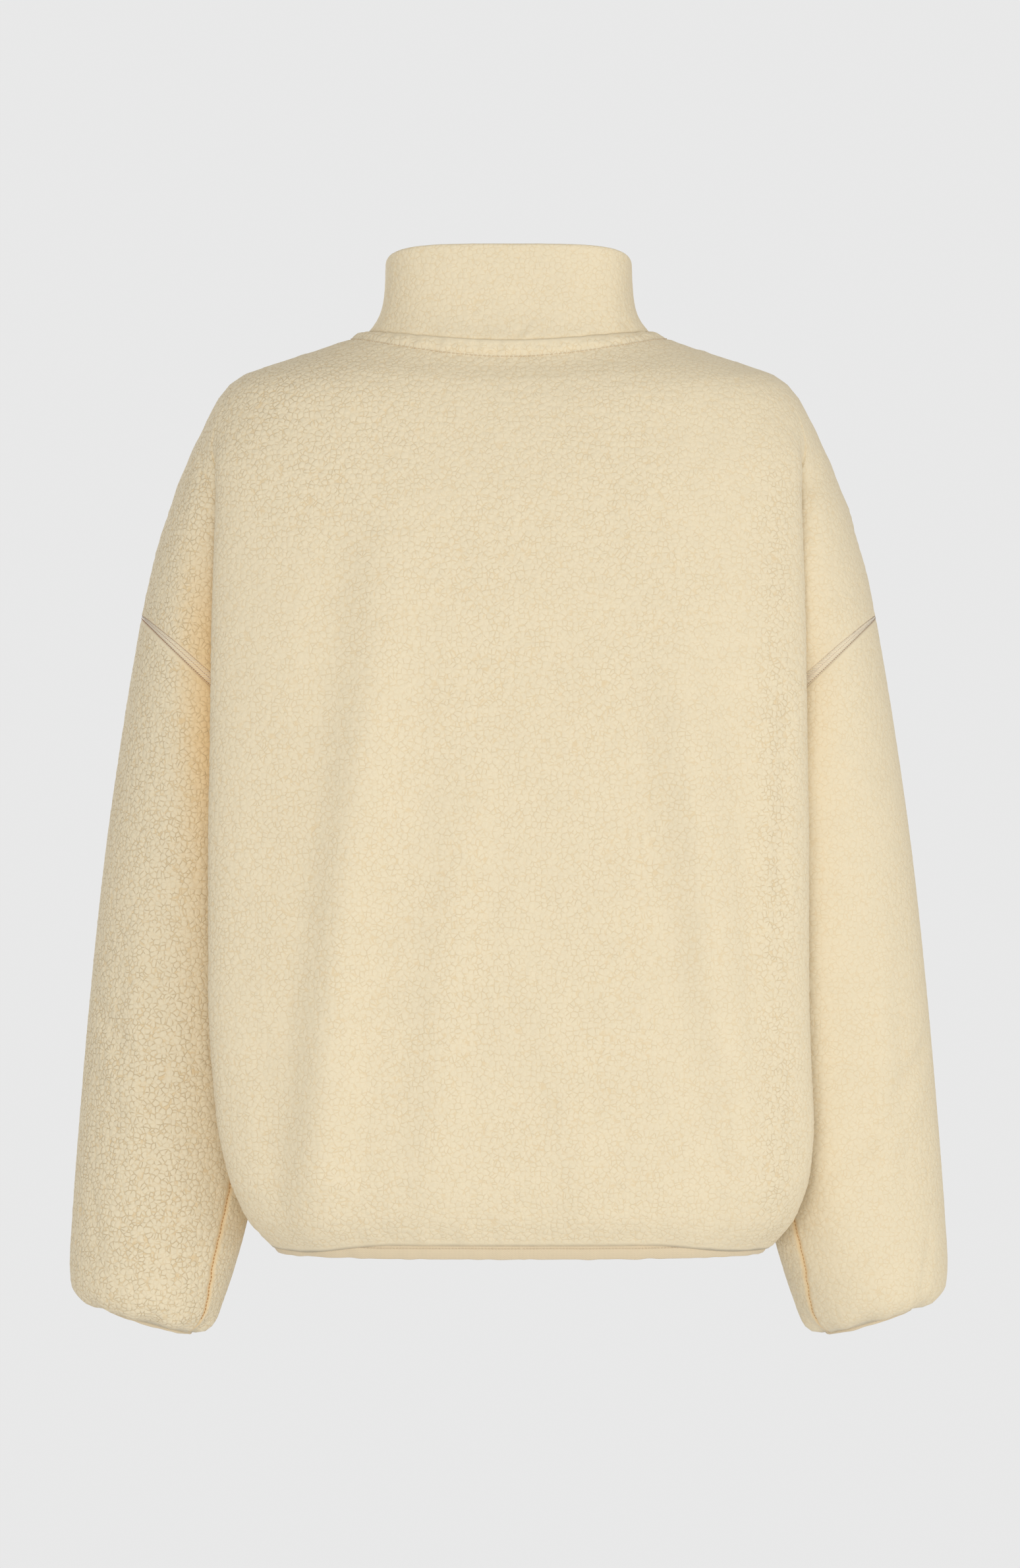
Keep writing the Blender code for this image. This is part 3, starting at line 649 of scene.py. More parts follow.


# %% [markdown]
# ## Back and front
# Both panels are the same cut but for the neck. Under the pile lie several reliefs: the soft folds, a
# rounded ridge round the neck where the collar's seam allowance lies under the fleece, a flat band along
# the armhole, a slight hollow along each seam, a swelling in the right crease where body and arm press
# together, and small puckers above the hem, where the binding draws the cloth in.
# The pile's strength is not even: higher on the left arm and shoulder, lower to the right. It raises real
# bumps, and the stronger, darker cracks that it gives on the left are painted shade for the light that
# falls from the right. A second measure finds how deep a point lies in the crease between body and arm,
# where the cloth is painted warmer and darker as painted crease shade. It measures the distance to
# the facing cloth, since a plain test of height would colour the outside of the arm as well.

# %% Relief of the panels
HEM_CORNER_DROP = 5.5
ARM_PRESSED = 8.0
NECK_RIDGE = {"width": 10.5, "height": 1.7}
BESIDE_RIDGE = 0.8
ARMHOLE_BAND = 8.2
SEAM_HOLLOW = 0.4
# Radii that turn an angle round the garment into a distance along its waves
NECK_RADIUS, HEM_RADIUS = 88.0, 130.0
MOST_CURLED = 1.2
# Reach of the painted crease shade in millimetres, and the share of it kept on the right, where the lamps light
# the crease
CREASE_REACH = 38.0
LEAST_CREASE_SHADE = 0.15
# Seed, shortest and longest wave in millimetres, and number of waves
WAVES = {
    "neck width": (7, 14.0, 40.0, 5),
    "neck height": (3, 7.0, 24.0, 8),
    "hem": (5, 12.0, 44.0, 9),
    "shoulder": (11, 10.0, 26.0, 5),
    "cuff": (17, 18.0, 60.0, 9),
    "under arm": (23, 8.0, 20.0, 5),
    "collar": (31, 40.0, 130.0, 9),
    "collar seam": (37, 12.0, 30.0, 5),
}


def bell(distance, width):
    return np.exp(-(distance / width) ** 2)


def ripples(place, seed, shortest, longest, count):
    """An uneven run of small waves along a line, mostly from -1 to 1, the same at each run."""
    rng = np.random.default_rng(seed)
    total = np.zeros(np.shape(place))
    for _ in range(count):
        length = rng.uniform(shortest, longest)
        total = total + np.sin(2.0 * np.pi * (place / length + rng.uniform()))
    return total / np.sqrt(count)


def pile_and_crack_shade(points):
    """How strong the pile is: more on the left arm, the left of the yoke and a lane beside the right
    crease, less towards the right arm. Its bumps are relief; its darker cracks on the left are painted shade."""
    x, z = points[:, 0], points[:, 2]
    left, right = smooth_step((x - 180.0) / 45.0), smooth_step((-x - 50.0) / 170.0)
    yoke = smooth_step((x - 20.0) / 140.0) * smooth_step((z + 170.0) / 110.0)
    lane = bell(-x - 178.0, 15.0) * smooth_step((-60.0 - z) / 60.0)
    return 0.84 + 0.42 * left - 0.2 * right + 0.3 * yoke * (1.0 - left) + 0.35 * lane


def crease_shade_share(points, others, height):
    """How deep each point lies in the crease between body and arm, for the painted crease shade: 1 at the
    bottom, 0 in the open.
    """
    tree = KDTree(len(others))
    for number, place in enumerate(others.tolist()):
        tree.insert(place, number)
    tree.balance()
    gap = np.array([tree.find(place)[2] for place in points.tolist()])
    return smooth_step(1.15 - gap / CREASE_REACH) ** 1.4 * smooth_step(height / 20.0)


def deeper_fades(z):
    """The painted crease shade weakens again towards the hem, where the crease opens."""
    return 1.0 - 0.6 * smooth_step((-230.0 - z) / 230.0)


def stand_up(points, share):
    """The pile's own relief, where share says how much of it stands."""
    return PILE_HEIGHT * (pile_relief(points) - 0.5) * share


def panel_relief(side, points, neck, edge, flat):
    """The relief under the pile, from the distances to the neck and to the panel's sides."""
    x, z = points[:, 0], points[:, 2]
    depth, hem = np.abs(points[:, 1] - MIDDLE_Y), z - HEM_Z
    corner = read(BODY, "z", z, "corner_depth")
    relief = fold_height(SOFT_FOLDS[side], x, z) * smooth_step((depth - corner) / 12.0 + 0.6)

    round_neck = np.arctan2(points[:, 1] - MIDDLE_Y, x) * NECK_RADIUS
    width = NECK_RIDGE["width"] * (1.0 + 0.05 * ripples(round_neck, *WAVES["neck width"]))
    ridge = smooth_step(neck / 3.0 + 0.55) * smooth_step((width - neck) / 3.8)
    relief += NECK_RIDGE["height"] * ridge * (1.0 + 0.2 * ripples(round_neck, *WAVES["neck height"]))
    relief -= SEAM_HOLLOW * bell(neck - NECK_RIDGE["width"] - BESIDE_RIDGE, 1.8)

    hollow = SEAM_HOLLOW * flat + SEAM_HOLLOW * bell(hem, 1.6)
    relief -= hollow + 0.6 * bell(edge, 2.0) * (1.0 - flat)
    relief += 0.35 * bell(edge - 7.0, 4.5) * smooth_step((z - SEAM_TOP_Z - 8.0) / 12.0)

    round_hem = np.arctan2(points[:, 1] - MIDDLE_Y, x - HEM_SWAY) * HEM_RADIUS
    gathers = 0.55 * ripples(round_hem, *WAVES["hem"])
    relief += gathers * smooth_step((26.0 - hem) / 26.0) * smooth_step(hem / 3.0)

    pressed = bell(-x - 198.0, 17.0) * smooth_step((edge - 4.0) / 30.0)
    in_crease = smooth_step((CREASE_START_Z - z) / 60.0) * smooth_step((corner - 4.0 - depth) / 6.0)
    relief += ARM_PRESSED * pressed * in_crease

    shoulder = bell(edge, 9.0) * smooth_step((z - SEAM_TOP_Z) / 40.0)
    return relief + 0.5 * shoulder * ripples(x, *WAVES["shoulder"])


def panel_crease_shade(points, ids, low):
    """Painted crease shade on both sides of the crease. low says how far below the crease's brim a point lies.
    """
    x, z = points[:, 0], points[:, 2]
    flap_places = [numbers[:, CREASE_COLUMN:] for numbers in ids[::2]]
    on_flap = np.zeros(len(points), bool)
    on_flap[np.concatenate([places.reshape(-1) for places in flap_places])] = True
    body = np.concatenate([numbers[::2, :CREASE_COLUMN - 6:2].reshape(-1) for numbers in ids])
    flaps = np.concatenate([places[::2, 6::2].reshape(-1) for places in flap_places])
    near = (np.abs(x) > 125.0) & (z < CREASE_START_Z + 30.0)
    crease_shade = np.zeros(len(points))
    for chosen, others in ((near & on_flap, body), (near & ~on_flap & (z > UNDERARM_Z), flaps)):
        crease_shade[chosen] = crease_shade_share(points[chosen], points[others], low[chosen])
    crease_shade *= np.where(on_flap, 1.0, 0.5) * np.where(x > 0.0, 1.0, LEAST_CREASE_SHADE)
    return crease_shade * smooth_step((-110.0 - z) / 110.0) * deeper_fades(z)


def panel(side):
    hands = (1.0, 1.0, -1.0, -1.0)
    grids = [placed(half, side, hand) for half, hand in zip(HALVES[side] * 2, hands)]
    points, ids = weld(grids)
    turned = [(side == "back") == (hand > 0.0) for hand in hands]
    normals = normals_of(points, np.vstack([quads(numbers, flip) for numbers, flip in zip(ids, turned)]))
    for numbers in ids[::2]:
        normals = crease_normals(points, normals, numbers[:, CREASE_COLUMN])
    z, depth = points[:, 2], np.abs(points[:, 1] - MIDDLE_Y)
    neck = least(len(points), ids[::2], [run_length(grid, 0) for grid in grids[::2]])
    edge = least(len(points), ids, [run_length(grid, 1, True) for grid in grids])
    hem = z - HEM_Z
    seam = np.minimum(np.minimum(edge, neck), np.maximum(hem, 0.0))
    armhole = np.hypot(edge, np.maximum(z - SEAM_TOP_Z, 0.0))
    flat = smooth_step((ARMHOLE_BAND + 1.6 - armhole) / 1.8) * (z > UNDERARM_Z - 2.0)

    corner = read(BODY, "z", z, "corner_depth")
    flank = smooth_step((corner + 14.0 - depth) / 20.0) * smooth_step((CREASE_START_Z + 10.0 - z) / 50.0)
    pile_strength_and_shade = pile_and_crack_shade(points)
    pile = (0.7 * np.minimum(pile_strength_and_shade, MOST_CURLED) + 1.7 * flank) * (1.0 - flat)
    relief = panel_relief(side, points, neck, edge, flat)
    relief += stand_up(points, smooth_step((seam - 0.6) / 4.0) * pile)
    outer = points + normals * relief[:, None]
    corner_of_hem = smooth_step((np.abs(points[:, 0] - HEM_SWAY) - 84.0) / 66.0)
    outer[:, 2] -= HEM_CORNER_DROP * corner_of_hem * smooth_step((32.0 - hem) / 32.0)

    # The pile's strength for the material: real bumps, and darker cracks on the left as painted shade
    shown_pile_and_shade = pile_strength_and_shade * smooth_step(seam / 5.0) * (1.0 - 0.8 * flat)
    # Painted crease shade: a warmer, darker colour deep in the crease between body and arm
    extra = [("seam", shown_pile_and_shade), ("crease_shade", panel_crease_shade(points, ids, corner - 3.0 - depth))]
    borders = [("top", "right"), ("bottom", "right")] * 2
    columns = (BACK_COLUMNS, CREASE_COLUMN - 1, CREASE_COLUMN, CREASE_COLUMN + 1)
    obj = shell(side + "_panel", points, normals, ids, turned, outer, borders, columns, extra)
    return obj, (grids, ids, points, normals, outer)


back, back_form = panel("back")
front, front_form = panel("front")

# %% [markdown]
# ## Sleeves
# A sleeve is one tube. Its first ring is the armhole seam itself, and over the first fifth of its length
# it eases into plain ovals. It carries soft slanted folds where the arm would bend, a shallow groove
# along the seam under the arm, and gathers where the binding draws in the cuff. The right sleeve also
# swells a little where it presses against the body.

# %% Sleeves
RING_POINTS = 208
SLEEVE_ROWS = 236
SLEEVE_BLEND_SHARE = 0.2
LOWER_ON_THE_RIGHT = 0.07
SLEEVE_FACES_BODY_X = 245.0
# Millimetres that a whole length or a whole turn of the sleeve counts as, for waves and distances
WAVES_DOWN, SEAM_TURN, GATHERS_TURN = 480.0, 380.0, 330.0
# Share of the sleeve's length and turn round it (0 outside, 0.25 back, 0.5 under the arm), at both ends
SLEEVE_FOLDS = folds(
    ((0.52, 0.02), (0.66, 0.24), 0.030, -1.8),
    ((0.60, 0.06), (0.76, 0.30), 0.034, 1.7),
    ((0.20, 0.30), (0.70, 0.36), 0.030, -1.5),
    ((0.30, 0.16), (0.86, 0.20), 0.040, 1.6),
    ((0.34, 0.72), (0.80, 0.80), 0.036, -2.0),
    ((0.50, 0.60), (0.64, 0.90), 0.030, 1.8),
    ((0.80, 0.10), (0.95, 0.16), 0.022, -1.0),
)


def sleeve_ring(share, count):
    outer, inner = [np.array([read(SLEEVE, "share", share, part + axis) for axis in "xz"])
                    for part in ("outer_", "inner_")]
    turn = 2.0 * np.pi * np.arange(count) / count
    middle, reach = (outer + inner) / 2.0, (outer - inner) / 2.0
    half_depth = read(SLEEVE, "share", share, "half_depth")
    return np.stack([middle[0] + reach[0] * np.cos(turn), half_depth * np.sin(turn),
                     middle[1] + reach[1] * np.cos(turn)], axis=1)


def armhole_loop(count):
    heights = even_heights(SEAM_TOP_Z, UNDERARM_Z, seam_point, count // 2 + 1)
    back = np.array([seam_point(z) for z in heights[:-1]])
    back[0, 1] = 0.0
    front = back[:0:-1] * np.array([1.0, -1.0, 1.0])
    return np.vstack([back, [crease_point(UNDERARM_Z)], front])


LOOP = armhole_loop(RING_POINTS)
FIRST_RING = sleeve_ring(0.0, RING_POINTS)


def sleeve_place(share, hand):
    ring = sleeve_ring(share, RING_POINTS)
    ring += (LOOP - FIRST_RING) * (1.0 - smooth_step(share / SLEEVE_BLEND_SHARE))
    return np.column_stack([hand * ring[:, 0], MIDDLE_Y + ring[:, 1], ring[:, 2]])


def seam_under_arm(share):
    """The turn at which the sleeve's seam lies: it starts at the underarm and swings a little to the back."""
    return between(0.5, 0.385, smooth_step(share / 0.75)) + 0.025 * smooth_step((share - 0.9) / 0.1)


def closed_ring(grid):
    return np.concatenate([grid, grid[:, :1]], axis=1)


def sleeve_relief(hand, share, turn, top, bottom, under):
    """The relief under the pile, from the distances to both ends and to the seam under the arm."""
    lower = 0.0 if hand > 0.0 else LOWER_ON_THE_RIGHT
    relief = fold_height(SLEEVE_FOLDS, share, turn, swell=0.35, past_end=0.0, fade=0.35, shift=lower)
    gathers = ripples(turn * GATHERS_TURN, *WAVES["cuff"]) * 1.1
    relief += gathers * smooth_step((34.0 - bottom) / 34.0) * smooth_step(bottom / 6.0 + 0.2)
    relief -= SEAM_HOLLOW * bell(top, 2.6) + 0.9 * bell(under, 1.8) + 0.6 * bell(bottom, 2.0)
    if hand < 0.0:
        pressed = bell(turn - 0.305, 0.055) * smooth_step(share / 0.16)
        relief += ARM_PRESSED * pressed * smooth_step((0.95 - share) / 0.2)
    return relief + 0.35 * ripples(share * WAVES_DOWN, *WAVES["under arm"]) * bell(under, 7.0)


def sleeve_crease_shade(points, hand):
    """Painted crease shade on the sleeve's side that faces the body."""
    body = np.vstack([points_of[numbers[::3, :CREASE_COLUMN:3].reshape(-1)]
                      for _, ids, points_of, _, _ in (back_form, front_form) for numbers in ids])
    near = (np.abs(points[:, 0]) < SLEEVE_FACES_BODY_X) & (points[:, 2] < SEAM_TOP_Z)
    low = read(BODY, "z", points[:, 2], "corner_depth") - 3.0 - np.abs(points[:, 1] - MIDDLE_Y)
    crease_shade = np.zeros(len(points))
    crease_shade[near] = crease_shade_share(points[near], body, low[near]) * (1.0 if hand > 0.0 else LEAST_CREASE_SHADE)
    return crease_shade * deeper_fades(points[:, 2])


def sleeve(name, hand):
    shares = np.linspace(0.0, 1.0, SLEEVE_ROWS + 1)
    grid = closed_ring(np.array([sleeve_place(share, hand) for share in shares]))
    points, ids = weld([grid])
    turned = [hand < 0.0]
    normals = normals_of(points, quads(ids[0], turned[0]))
    share, turn = np.meshgrid(shares, np.arange(RING_POINTS + 1) / RING_POINTS, indexing="ij")
    top, bottom = run_length(grid, 0), run_length(grid, 0, True)
    under = np.abs(turn - seam_under_arm(share)) * SEAM_TURN
    relief = sleeve_relief(hand, share, turn, top, bottom, under)
    seam = np.minimum(np.minimum(top, bottom), under)
    last = np.zeros(len(points), int)
    last[ids[0].reshape(-1)] = np.arange(share.size)
    relief, seam, under = [values.reshape(-1)[last] for values in (relief, seam, under)]
    pile_strength_and_shade = pile_and_crack_shade(points)
    relief += stand_up(points, smooth_step((seam - 0.6) / 4.0) * np.minimum(pile_strength_and_shade, MOST_CURLED))
    outer = points + normals * relief[:, None]
    # Painted crease shade, and painted shade in the groove of the seam under the arm
    crease_shade = np.maximum(sleeve_crease_shade(points, hand), 0.7 * bell(under, 2.6))
    # The seam attribute carries the pile's strength, whose stronger cracks on the left are painted shade
    extra = [("seam", pile_strength_and_shade * smooth_step(seam / 5.0)), ("crease_shade", crease_shade)]
    obj = shell(name, points, normals, ids, turned, outer, [("top", "bottom")], (), extra)
    return obj, (ids[0], normals, outer)


sleeve_left, sleeve_left_form = sleeve("left_sleeve", 1.0)
sleeve_right, sleeve_right_form = sleeve("right_sleeve", -1.0)

# %% [markdown]
# ## Bands: collar, hem binding and cuff bindings
# Each band is folded cloth, so its section is a closed loop: up one side, round the fold, down the other
# side. Swept round the garment, that section gives a torus-like shell with no open border. The collar
# stands up with its fold on top. The hem's binding hangs with its fold below. Each cuff's binding lies
# inside the gathered cuff, its fold just below the cloth's edge.

# %% Bands
def whole_loop(back_half, front_half):
    back_left, front_left = placed(back_half, "back", 1.0), placed(front_half, "front", 1.0)
    front_right, back_right = placed(front_half, "front", -1.0), placed(back_half, "back", -1.0)
    return np.vstack([back_left, front_left[-2::-1], front_right[1:], back_right[-2:0:-1]])


def numbered(rows):
    """A number for each point of some closed rows, with the first column once more at the end."""
    return closed_ring(np.arange(rows.shape[0] * rows.shape[1]).reshape(rows.shape[:2]))


def band(outer_rows, cloth, roll_steps=7):
    """Closed rows of a folded band. outer_rows run from the seam to the fold, on the side that shows."""
    ids = numbered(outer_rows)
    points = outer_rows.reshape(-1, 3)
    normals = normals_of(points, quads(ids)).reshape(outer_rows.shape)
    centre = outer_rows.mean(axis=1, keepdims=True)
    if (normals * (outer_rows - centre)).sum() < 0.0:
        normals = -normals
    inner_rows = outer_rows - cloth * normals
    middle = (outer_rows[-1] + inner_rows[-1]) / 2.0
    onward = outer_rows[-1] - outer_rows[-2]
    onward /= np.linalg.norm(onward, axis=1, keepdims=True)
    rows = list(outer_rows)
    for step in range(1, roll_steps):
        angle = np.pi * step / roll_steps
        rows.append(middle + cloth / 2.0 * (np.cos(angle) * normals[-1] + np.sin(angle) * onward))
    rows += list(inner_rows[::-1])
    return np.array(rows)


def whole_band(rows):
    """Points, outward faces and normals of closed rows, and how far round the garment each point lies."""
    ids = numbered(rows)
    points, faces = rows.reshape(-1, 3), quads(np.vstack([ids, ids[:1]]))
    corners = points[faces]
    volume = sum(np.einsum("ij,ij->i", corners[:, 0], np.cross(corners[:, side], corners[:, side + 1])).sum()
                 for side in (1, 2))
    faces = faces if volume > 0.0 else faces[:, ::-1]
    girth = np.tile(run_length(rows, 1).mean(axis=0), len(rows))
    return points, faces, normals_of(points, faces), girth


COLLAR_CLOTH, HEM_CLOTH, CUFF_CLOTH = 4.0, 2.4, 2.2
CUFF_TUCK = 0.895
COLLAR_ROWS, COLLAR_COLUMNS = 30, 80
COLLAR_HEIGHT = 62.0
BAND_BELOW_SEAM = 0.03


def collar_rows():
    def half(side):
        shares = np.linspace(0.0, 1.0, COLLAR_COLUMNS + 1)
        plain = along(rounded_quarter(NECK_HALF_WIDTH, NECK_DEPTH[side], NECK_SQUARENESS), shares)
        heights = between(NECK_Z[side], SHOULDER_LINE["z"][0], smooth_step(shares))
        return np.column_stack([plain, heights])

    base = whole_loop(half("back"), half("front"))
    depths = base[:, 1] - MIDDLE_Y
    base_depth = np.where(depths >= 0.0, NECK_DEPTH["back"], NECK_DEPTH["front"])
    top_depth = np.where(depths >= 0.0, COLLAR_TOP_DEPTH["back"], COLLAR_TOP_DEPTH["front"])
    turn = np.arctan2(np.abs(base[:, 0]) / NECK_HALF_WIDTH, np.abs(depths) / base_depth)
    top_x = np.sign(base[:, 0]) * COLLAR_HALF_WIDTH * np.abs(np.sin(turn)) ** (2.0 / COLLAR_SQUARENESS)
    top_y = np.sign(depths) * top_depth * np.abs(np.cos(turn)) ** (2.0 / COLLAR_SQUARENESS)
    top_z = COLLAR_TOP_Z - (COLLAR_TOP_DEPTH["back"] - top_y) * COLLAR_TILT
    rows = []
    fold = 1.0 - COLLAR_CLOTH / 2.0 / COLLAR_HEIGHT
    for share in np.linspace(-BAND_BELOW_SEAM, fold, COLLAR_ROWS + 1):
        narrow = max(0.0, 1.0 - (1.0 - share) ** 4) + 0.12 * max(0.0, 1.0 - share / BAND_BELOW_SEAM)
        rows.append(np.stack([between(base[:, 0], top_x, narrow), MIDDLE_Y + between(depths, top_y, narrow),
                              between(base[:, 2], top_z, share)], axis=1))
    return np.array(rows)


def collar():
    rows = band(collar_rows(), COLLAR_CLOTH)
    points, faces, normals, girth = whole_band(rows)
    height = np.repeat(np.linspace(0.0, 1.0, len(rows)), rows.shape[1])
    seam = np.minimum(run_length(rows, 0), run_length(rows, 0, True)).reshape(-1)
    wave = ripples(girth, *WAVES["collar"]) * 0.5 * np.sin(2.0 * np.pi * height) ** 2
    relief = wave * np.where(height < 0.5, 1.0, -1.0) - 0.3 * bell(seam, 1.8)
    relief += 0.4 * ripples(girth, *WAVES["collar seam"]) * bell(seam - 6.0, 7.0)
    relief += stand_up(points, 0.6 * smooth_step((seam - 0.4) / 4.0))
    # The seam attribute carries the pile's strength, whose cracks are painted shade
    attributes = [("rest", "FLOAT_VECTOR", points * MM), ("outside", "FLOAT", np.ones(len(points))),
                  ("seam", "FLOAT", 0.8 * pile_and_crack_shade(points) * smooth_step(seam / 5.0))]
    return add_mesh("stand_collar", points + normals * relief[:, None], faces.tolist(), attributes)


def binding(name, outer_rows, cloth, pucker, seed):
    """A narrow folded band, slightly wavy. Seeds make each band's waves its own."""
    rows = band(outer_rows, cloth, 6)
    points, faces, normals, girth = whole_band(rows)
    outer = points + normals * (pucker * ripples(girth, seed, 9.0, 30.0, 7))[:, None] * 0.5
    outer[:, 2] += pucker * 0.3 * ripples(girth, seed + 1, 30.0, 90.0, 5)
    obj = add_mesh(name, outer, faces.tolist(), [("rest", "FLOAT_VECTOR", points * MM)])
    return obj, (rows, normals, outer)


def hem_rows():
    loop = whole_loop(skirt_row("back", 1.0), skirt_row("front", 1.0))
    middle = np.array([HEM_SWAY, MIDDLE_Y, HEM_Z])
    rows = []
    for share in np.linspace(-0.25, 1.0, 10):
        draw_in = between(0.993, 0.975, max(share, 0.0) ** 1.3) + 0.006 * np.sin(np.pi * max(share, 0.0))
        ring = middle + (loop - middle) * np.array([draw_in, draw_in, 1.0])
        rows.append(ring - np.array([0.0, 0.0, (HEM_BINDING_DROP - 1.2) * share]))
    return np.array(rows)


def cuff_rows(hand):
    last = sleeve_place(1.0, hand)
    middle = last.mean(axis=0)
    inside = middle + (last - middle) * CUFF_TUCK
    return np.array([inside + np.array([0.0, 0.0, rise]) for rise in np.linspace(8.0, -0.6, 6)])


collar_piece = collar()
hem_binding, hem_form = binding("hem_band", hem_rows(), HEM_CLOTH, 0.35, 41)
cuff_binding_left, _ = binding("left_cuff_band", cuff_rows(1.0), CUFF_CLOTH, 0.4, 43)
cuff_binding_right, _ = binding("right_cuff_band", cuff_rows(-1.0), CUFF_CLOTH, 0.4, 47)

# %% [markdown]
# ## Stitching
# The armhole seam lies flat under a coverstitch: three rows of needle thread, with a pale looper thread
# that crosses between them. The right one is drawn tighter, so its threads lie finer. One row holds the
# neck's seam allowance down, one holds the hem binding, and one closes each sleeve under the arm. One
# stitch is a short bowed thread of 30 triangles. It is copied along a line that was read off the finished
# cloth, so each row follows every pucker.

# %% Lines on the cloth
def read_at(run, distance, *lists):
    """The columns of some lists of vectors, read at a distance along a run."""
    return [np.interp(distance, run, column) for vectors in lists for column in vectors.T]


def line_across(grid, outer, normals, distance):
    """For each row of a grid, the place and normal at a distance from its last column."""
    run = run_length(grid, 1, True)
    return np.array([read_at(run[row, ::-1], distance, outer[row, ::-1], normals[row, ::-1])
                     for row in range(len(grid)) if run[row, 0] > distance])


def line_down(grid, outer, normals, distance):
    """For each column, the place and normal at a distance below its first row."""
    run = run_length(grid, 0)
    return np.array([read_at(run[:, column], distance, outer[:, column], normals[:, column])
                     for column in range(grid.shape[1])])


def upper_grid(form, hand):
    grids, ids, _, normals, outer = form
    number = 0 if hand > 0.0 else 2
    return grids[number], outer[ids[number]], normals[ids[number]]


def armhole_line(hand, distance):
    """Round one armhole, from the underarm over the front, the shoulder and the back."""
    halves = []
    for form in (front_form, back_form):
        grid, outer, normals = [part[YOKE_ROWS:] for part in upper_grid(form, hand)]
        run = run_length(grid, 1)
        rows = run[:, -1] - run[:, CREASE_COLUMN] > distance + 2.5
        halves.append(line_across(grid[rows], outer[rows], normals[rows], distance))
    return np.vstack([halves[0][::-1], halves[1][1:]])


def neck_line(distance):
    loop = []
    for form, hands in ((back_form, (1.0, -1.0)), (front_form, (-1.0, 1.0))):
        first, second = [line_down(*upper_grid(form, hand), distance) for hand in hands]
        loop += [first[::-1], second[1:]]
    return np.vstack(loop)


def walk(line, pitch):
    """Even steps along a line: place, direction and normal at each."""
    run = travelled(line[:, :3])
    wanted = (np.arange(int(run[-1] / pitch)) + 0.5) * pitch
    columns = read_at(run, wanted, line)
    places, normals = np.stack(columns[:3], axis=1), np.stack(columns[3:], axis=1)
    onward = np.gradient(places, axis=0)
    onward /= np.linalg.norm(onward, axis=1, keepdims=True)
    normals -= onward * np.einsum("ij,ij->i", onward, normals)[:, None]
    return places, onward, normals / np.linalg.norm(normals, axis=1, keepdims=True)


# %% One stitch, copied along a line
STITCH_SIDES = 5
# Place along the stitch, from -1 to 1, and share of its full width
STITCH_RINGS = ((-1.0, 0.0), (-0.8, 0.8), (0.0, 1.0), (0.8, 0.8), (1.0, 0.0))


def stitches(line, pitch, length, radius, raised=0.0):
    """Points, faces and ply numbers of a row of bowed stitches."""
    places, onward, normals = walk(line, pitch)
    across = np.cross(onward, normals)
    count, angles = len(places), 2.0 * np.pi * np.arange(STITCH_SIDES) / STITCH_SIDES
    parts, plies = [], []
    for step, width in STITCH_RINGS:
        height = radius * (1.1 - 0.9 * step * step) + raised
        centre = places + onward * step * length / 2.0 + normals * height
        for angle in angles[:1] if width == 0.0 else angles:
            out = np.cos(angle) * normals + np.sin(angle) * across
            parts.append(centre + radius * width * out)
            plies.append(np.full(count, step * 2.0 + angle / np.pi))
    points = np.stack(parts, axis=1).reshape(-1, 3)
    last = 1 + 3 * STITCH_SIDES
    one = []
    for side in range(STITCH_SIDES):
        beside = (side + 1) % STITCH_SIDES
        one.append([0, 1 + beside, 1 + side])
        for ring in (0, 1):
            low, high = 1 + ring * STITCH_SIDES, 1 + (ring + 1) * STITCH_SIDES
            one.append([low + side, low + beside, high + beside, high + side])
        one.append([last - STITCH_SIDES + side, last - STITCH_SIDES + beside, last])
    starts = range(0, count * (last + 1), last + 1)
    faces = [[number + start for number in face] for start in starts for face in one]
    return points, faces, np.stack(plies, axis=1).reshape(-1)


def thread(line, radius, sides=4):
    """A round thread along a line of places and normals, closed at both ends."""
    places, normals = line[:, :3], line[:, 3:]
    onward = np.gradient(places, axis=0)
    across = np.cross(onward, normals)
    across /= np.linalg.norm(across, axis=1, keepdims=True)
    angles = 2.0 * np.pi * np.arange(sides) / sides
    rings = [places + radius * (np.cos(angle) * normals + np.sin(angle) * across) for angle in angles]
    ids = np.arange(len(places) * sides).reshape(-1, sides)
    faces = np.roll(quads(closed_ring(ids), True), 1, axis=1).tolist()
    faces += [ids[0, ::-1].tolist(), ids[-1].tolist()]
    plies = np.repeat(np.arange(len(places)) * 1.0, sides)
    return np.stack(rings, axis=1).reshape(-1, 3), faces, plies


def outward_faces(points, faces):
    """Turns all faces round if the mesh is inside out."""
    volume = sum(np.dot(points[face[0]], np.cross(points[face[corner]], points[face[corner + 1]]))
                 for face in faces[:60] for corner in range(1, len(face) - 1))
    return faces if volume > 0.0 else [face[::-1] for face in faces]


FIRST_STITCH = 2 + 3 * STITCH_SIDES


def sew(name, parts):
    """One mesh from several rows."""
    points, faces, plies, start = [], [], [], 0
    for row_points, row_faces, row_plies in parts:
        turned = outward_faces(row_points - row_points[:FIRST_STITCH].mean(axis=0), row_faces)
        points.append(row_points)
        faces += [[number + start for number in face] for face in turned]
        plies.append(row_plies)
        start += len(row_points)
    return add_mesh(name, np.vstack(points), faces, [("ply", "FLOAT", np.concatenate(plies))])


# %% Rows of stitching
COVER_PITCH, COVER_LENGTH = 1.7, 1.7 * 0.86
# Distance of each row from the armhole's edge, and radius of its thread
COVER_ROWS = [(0.6, 0.24), (4.3, 0.17), (8.0, 0.18)]
LOOPER_REACH, LOOPER_RADIUS = (0.9, 7.8), 0.2
DRAWN_TIGHT = {1.0: 1.0, -1.0: 0.65}
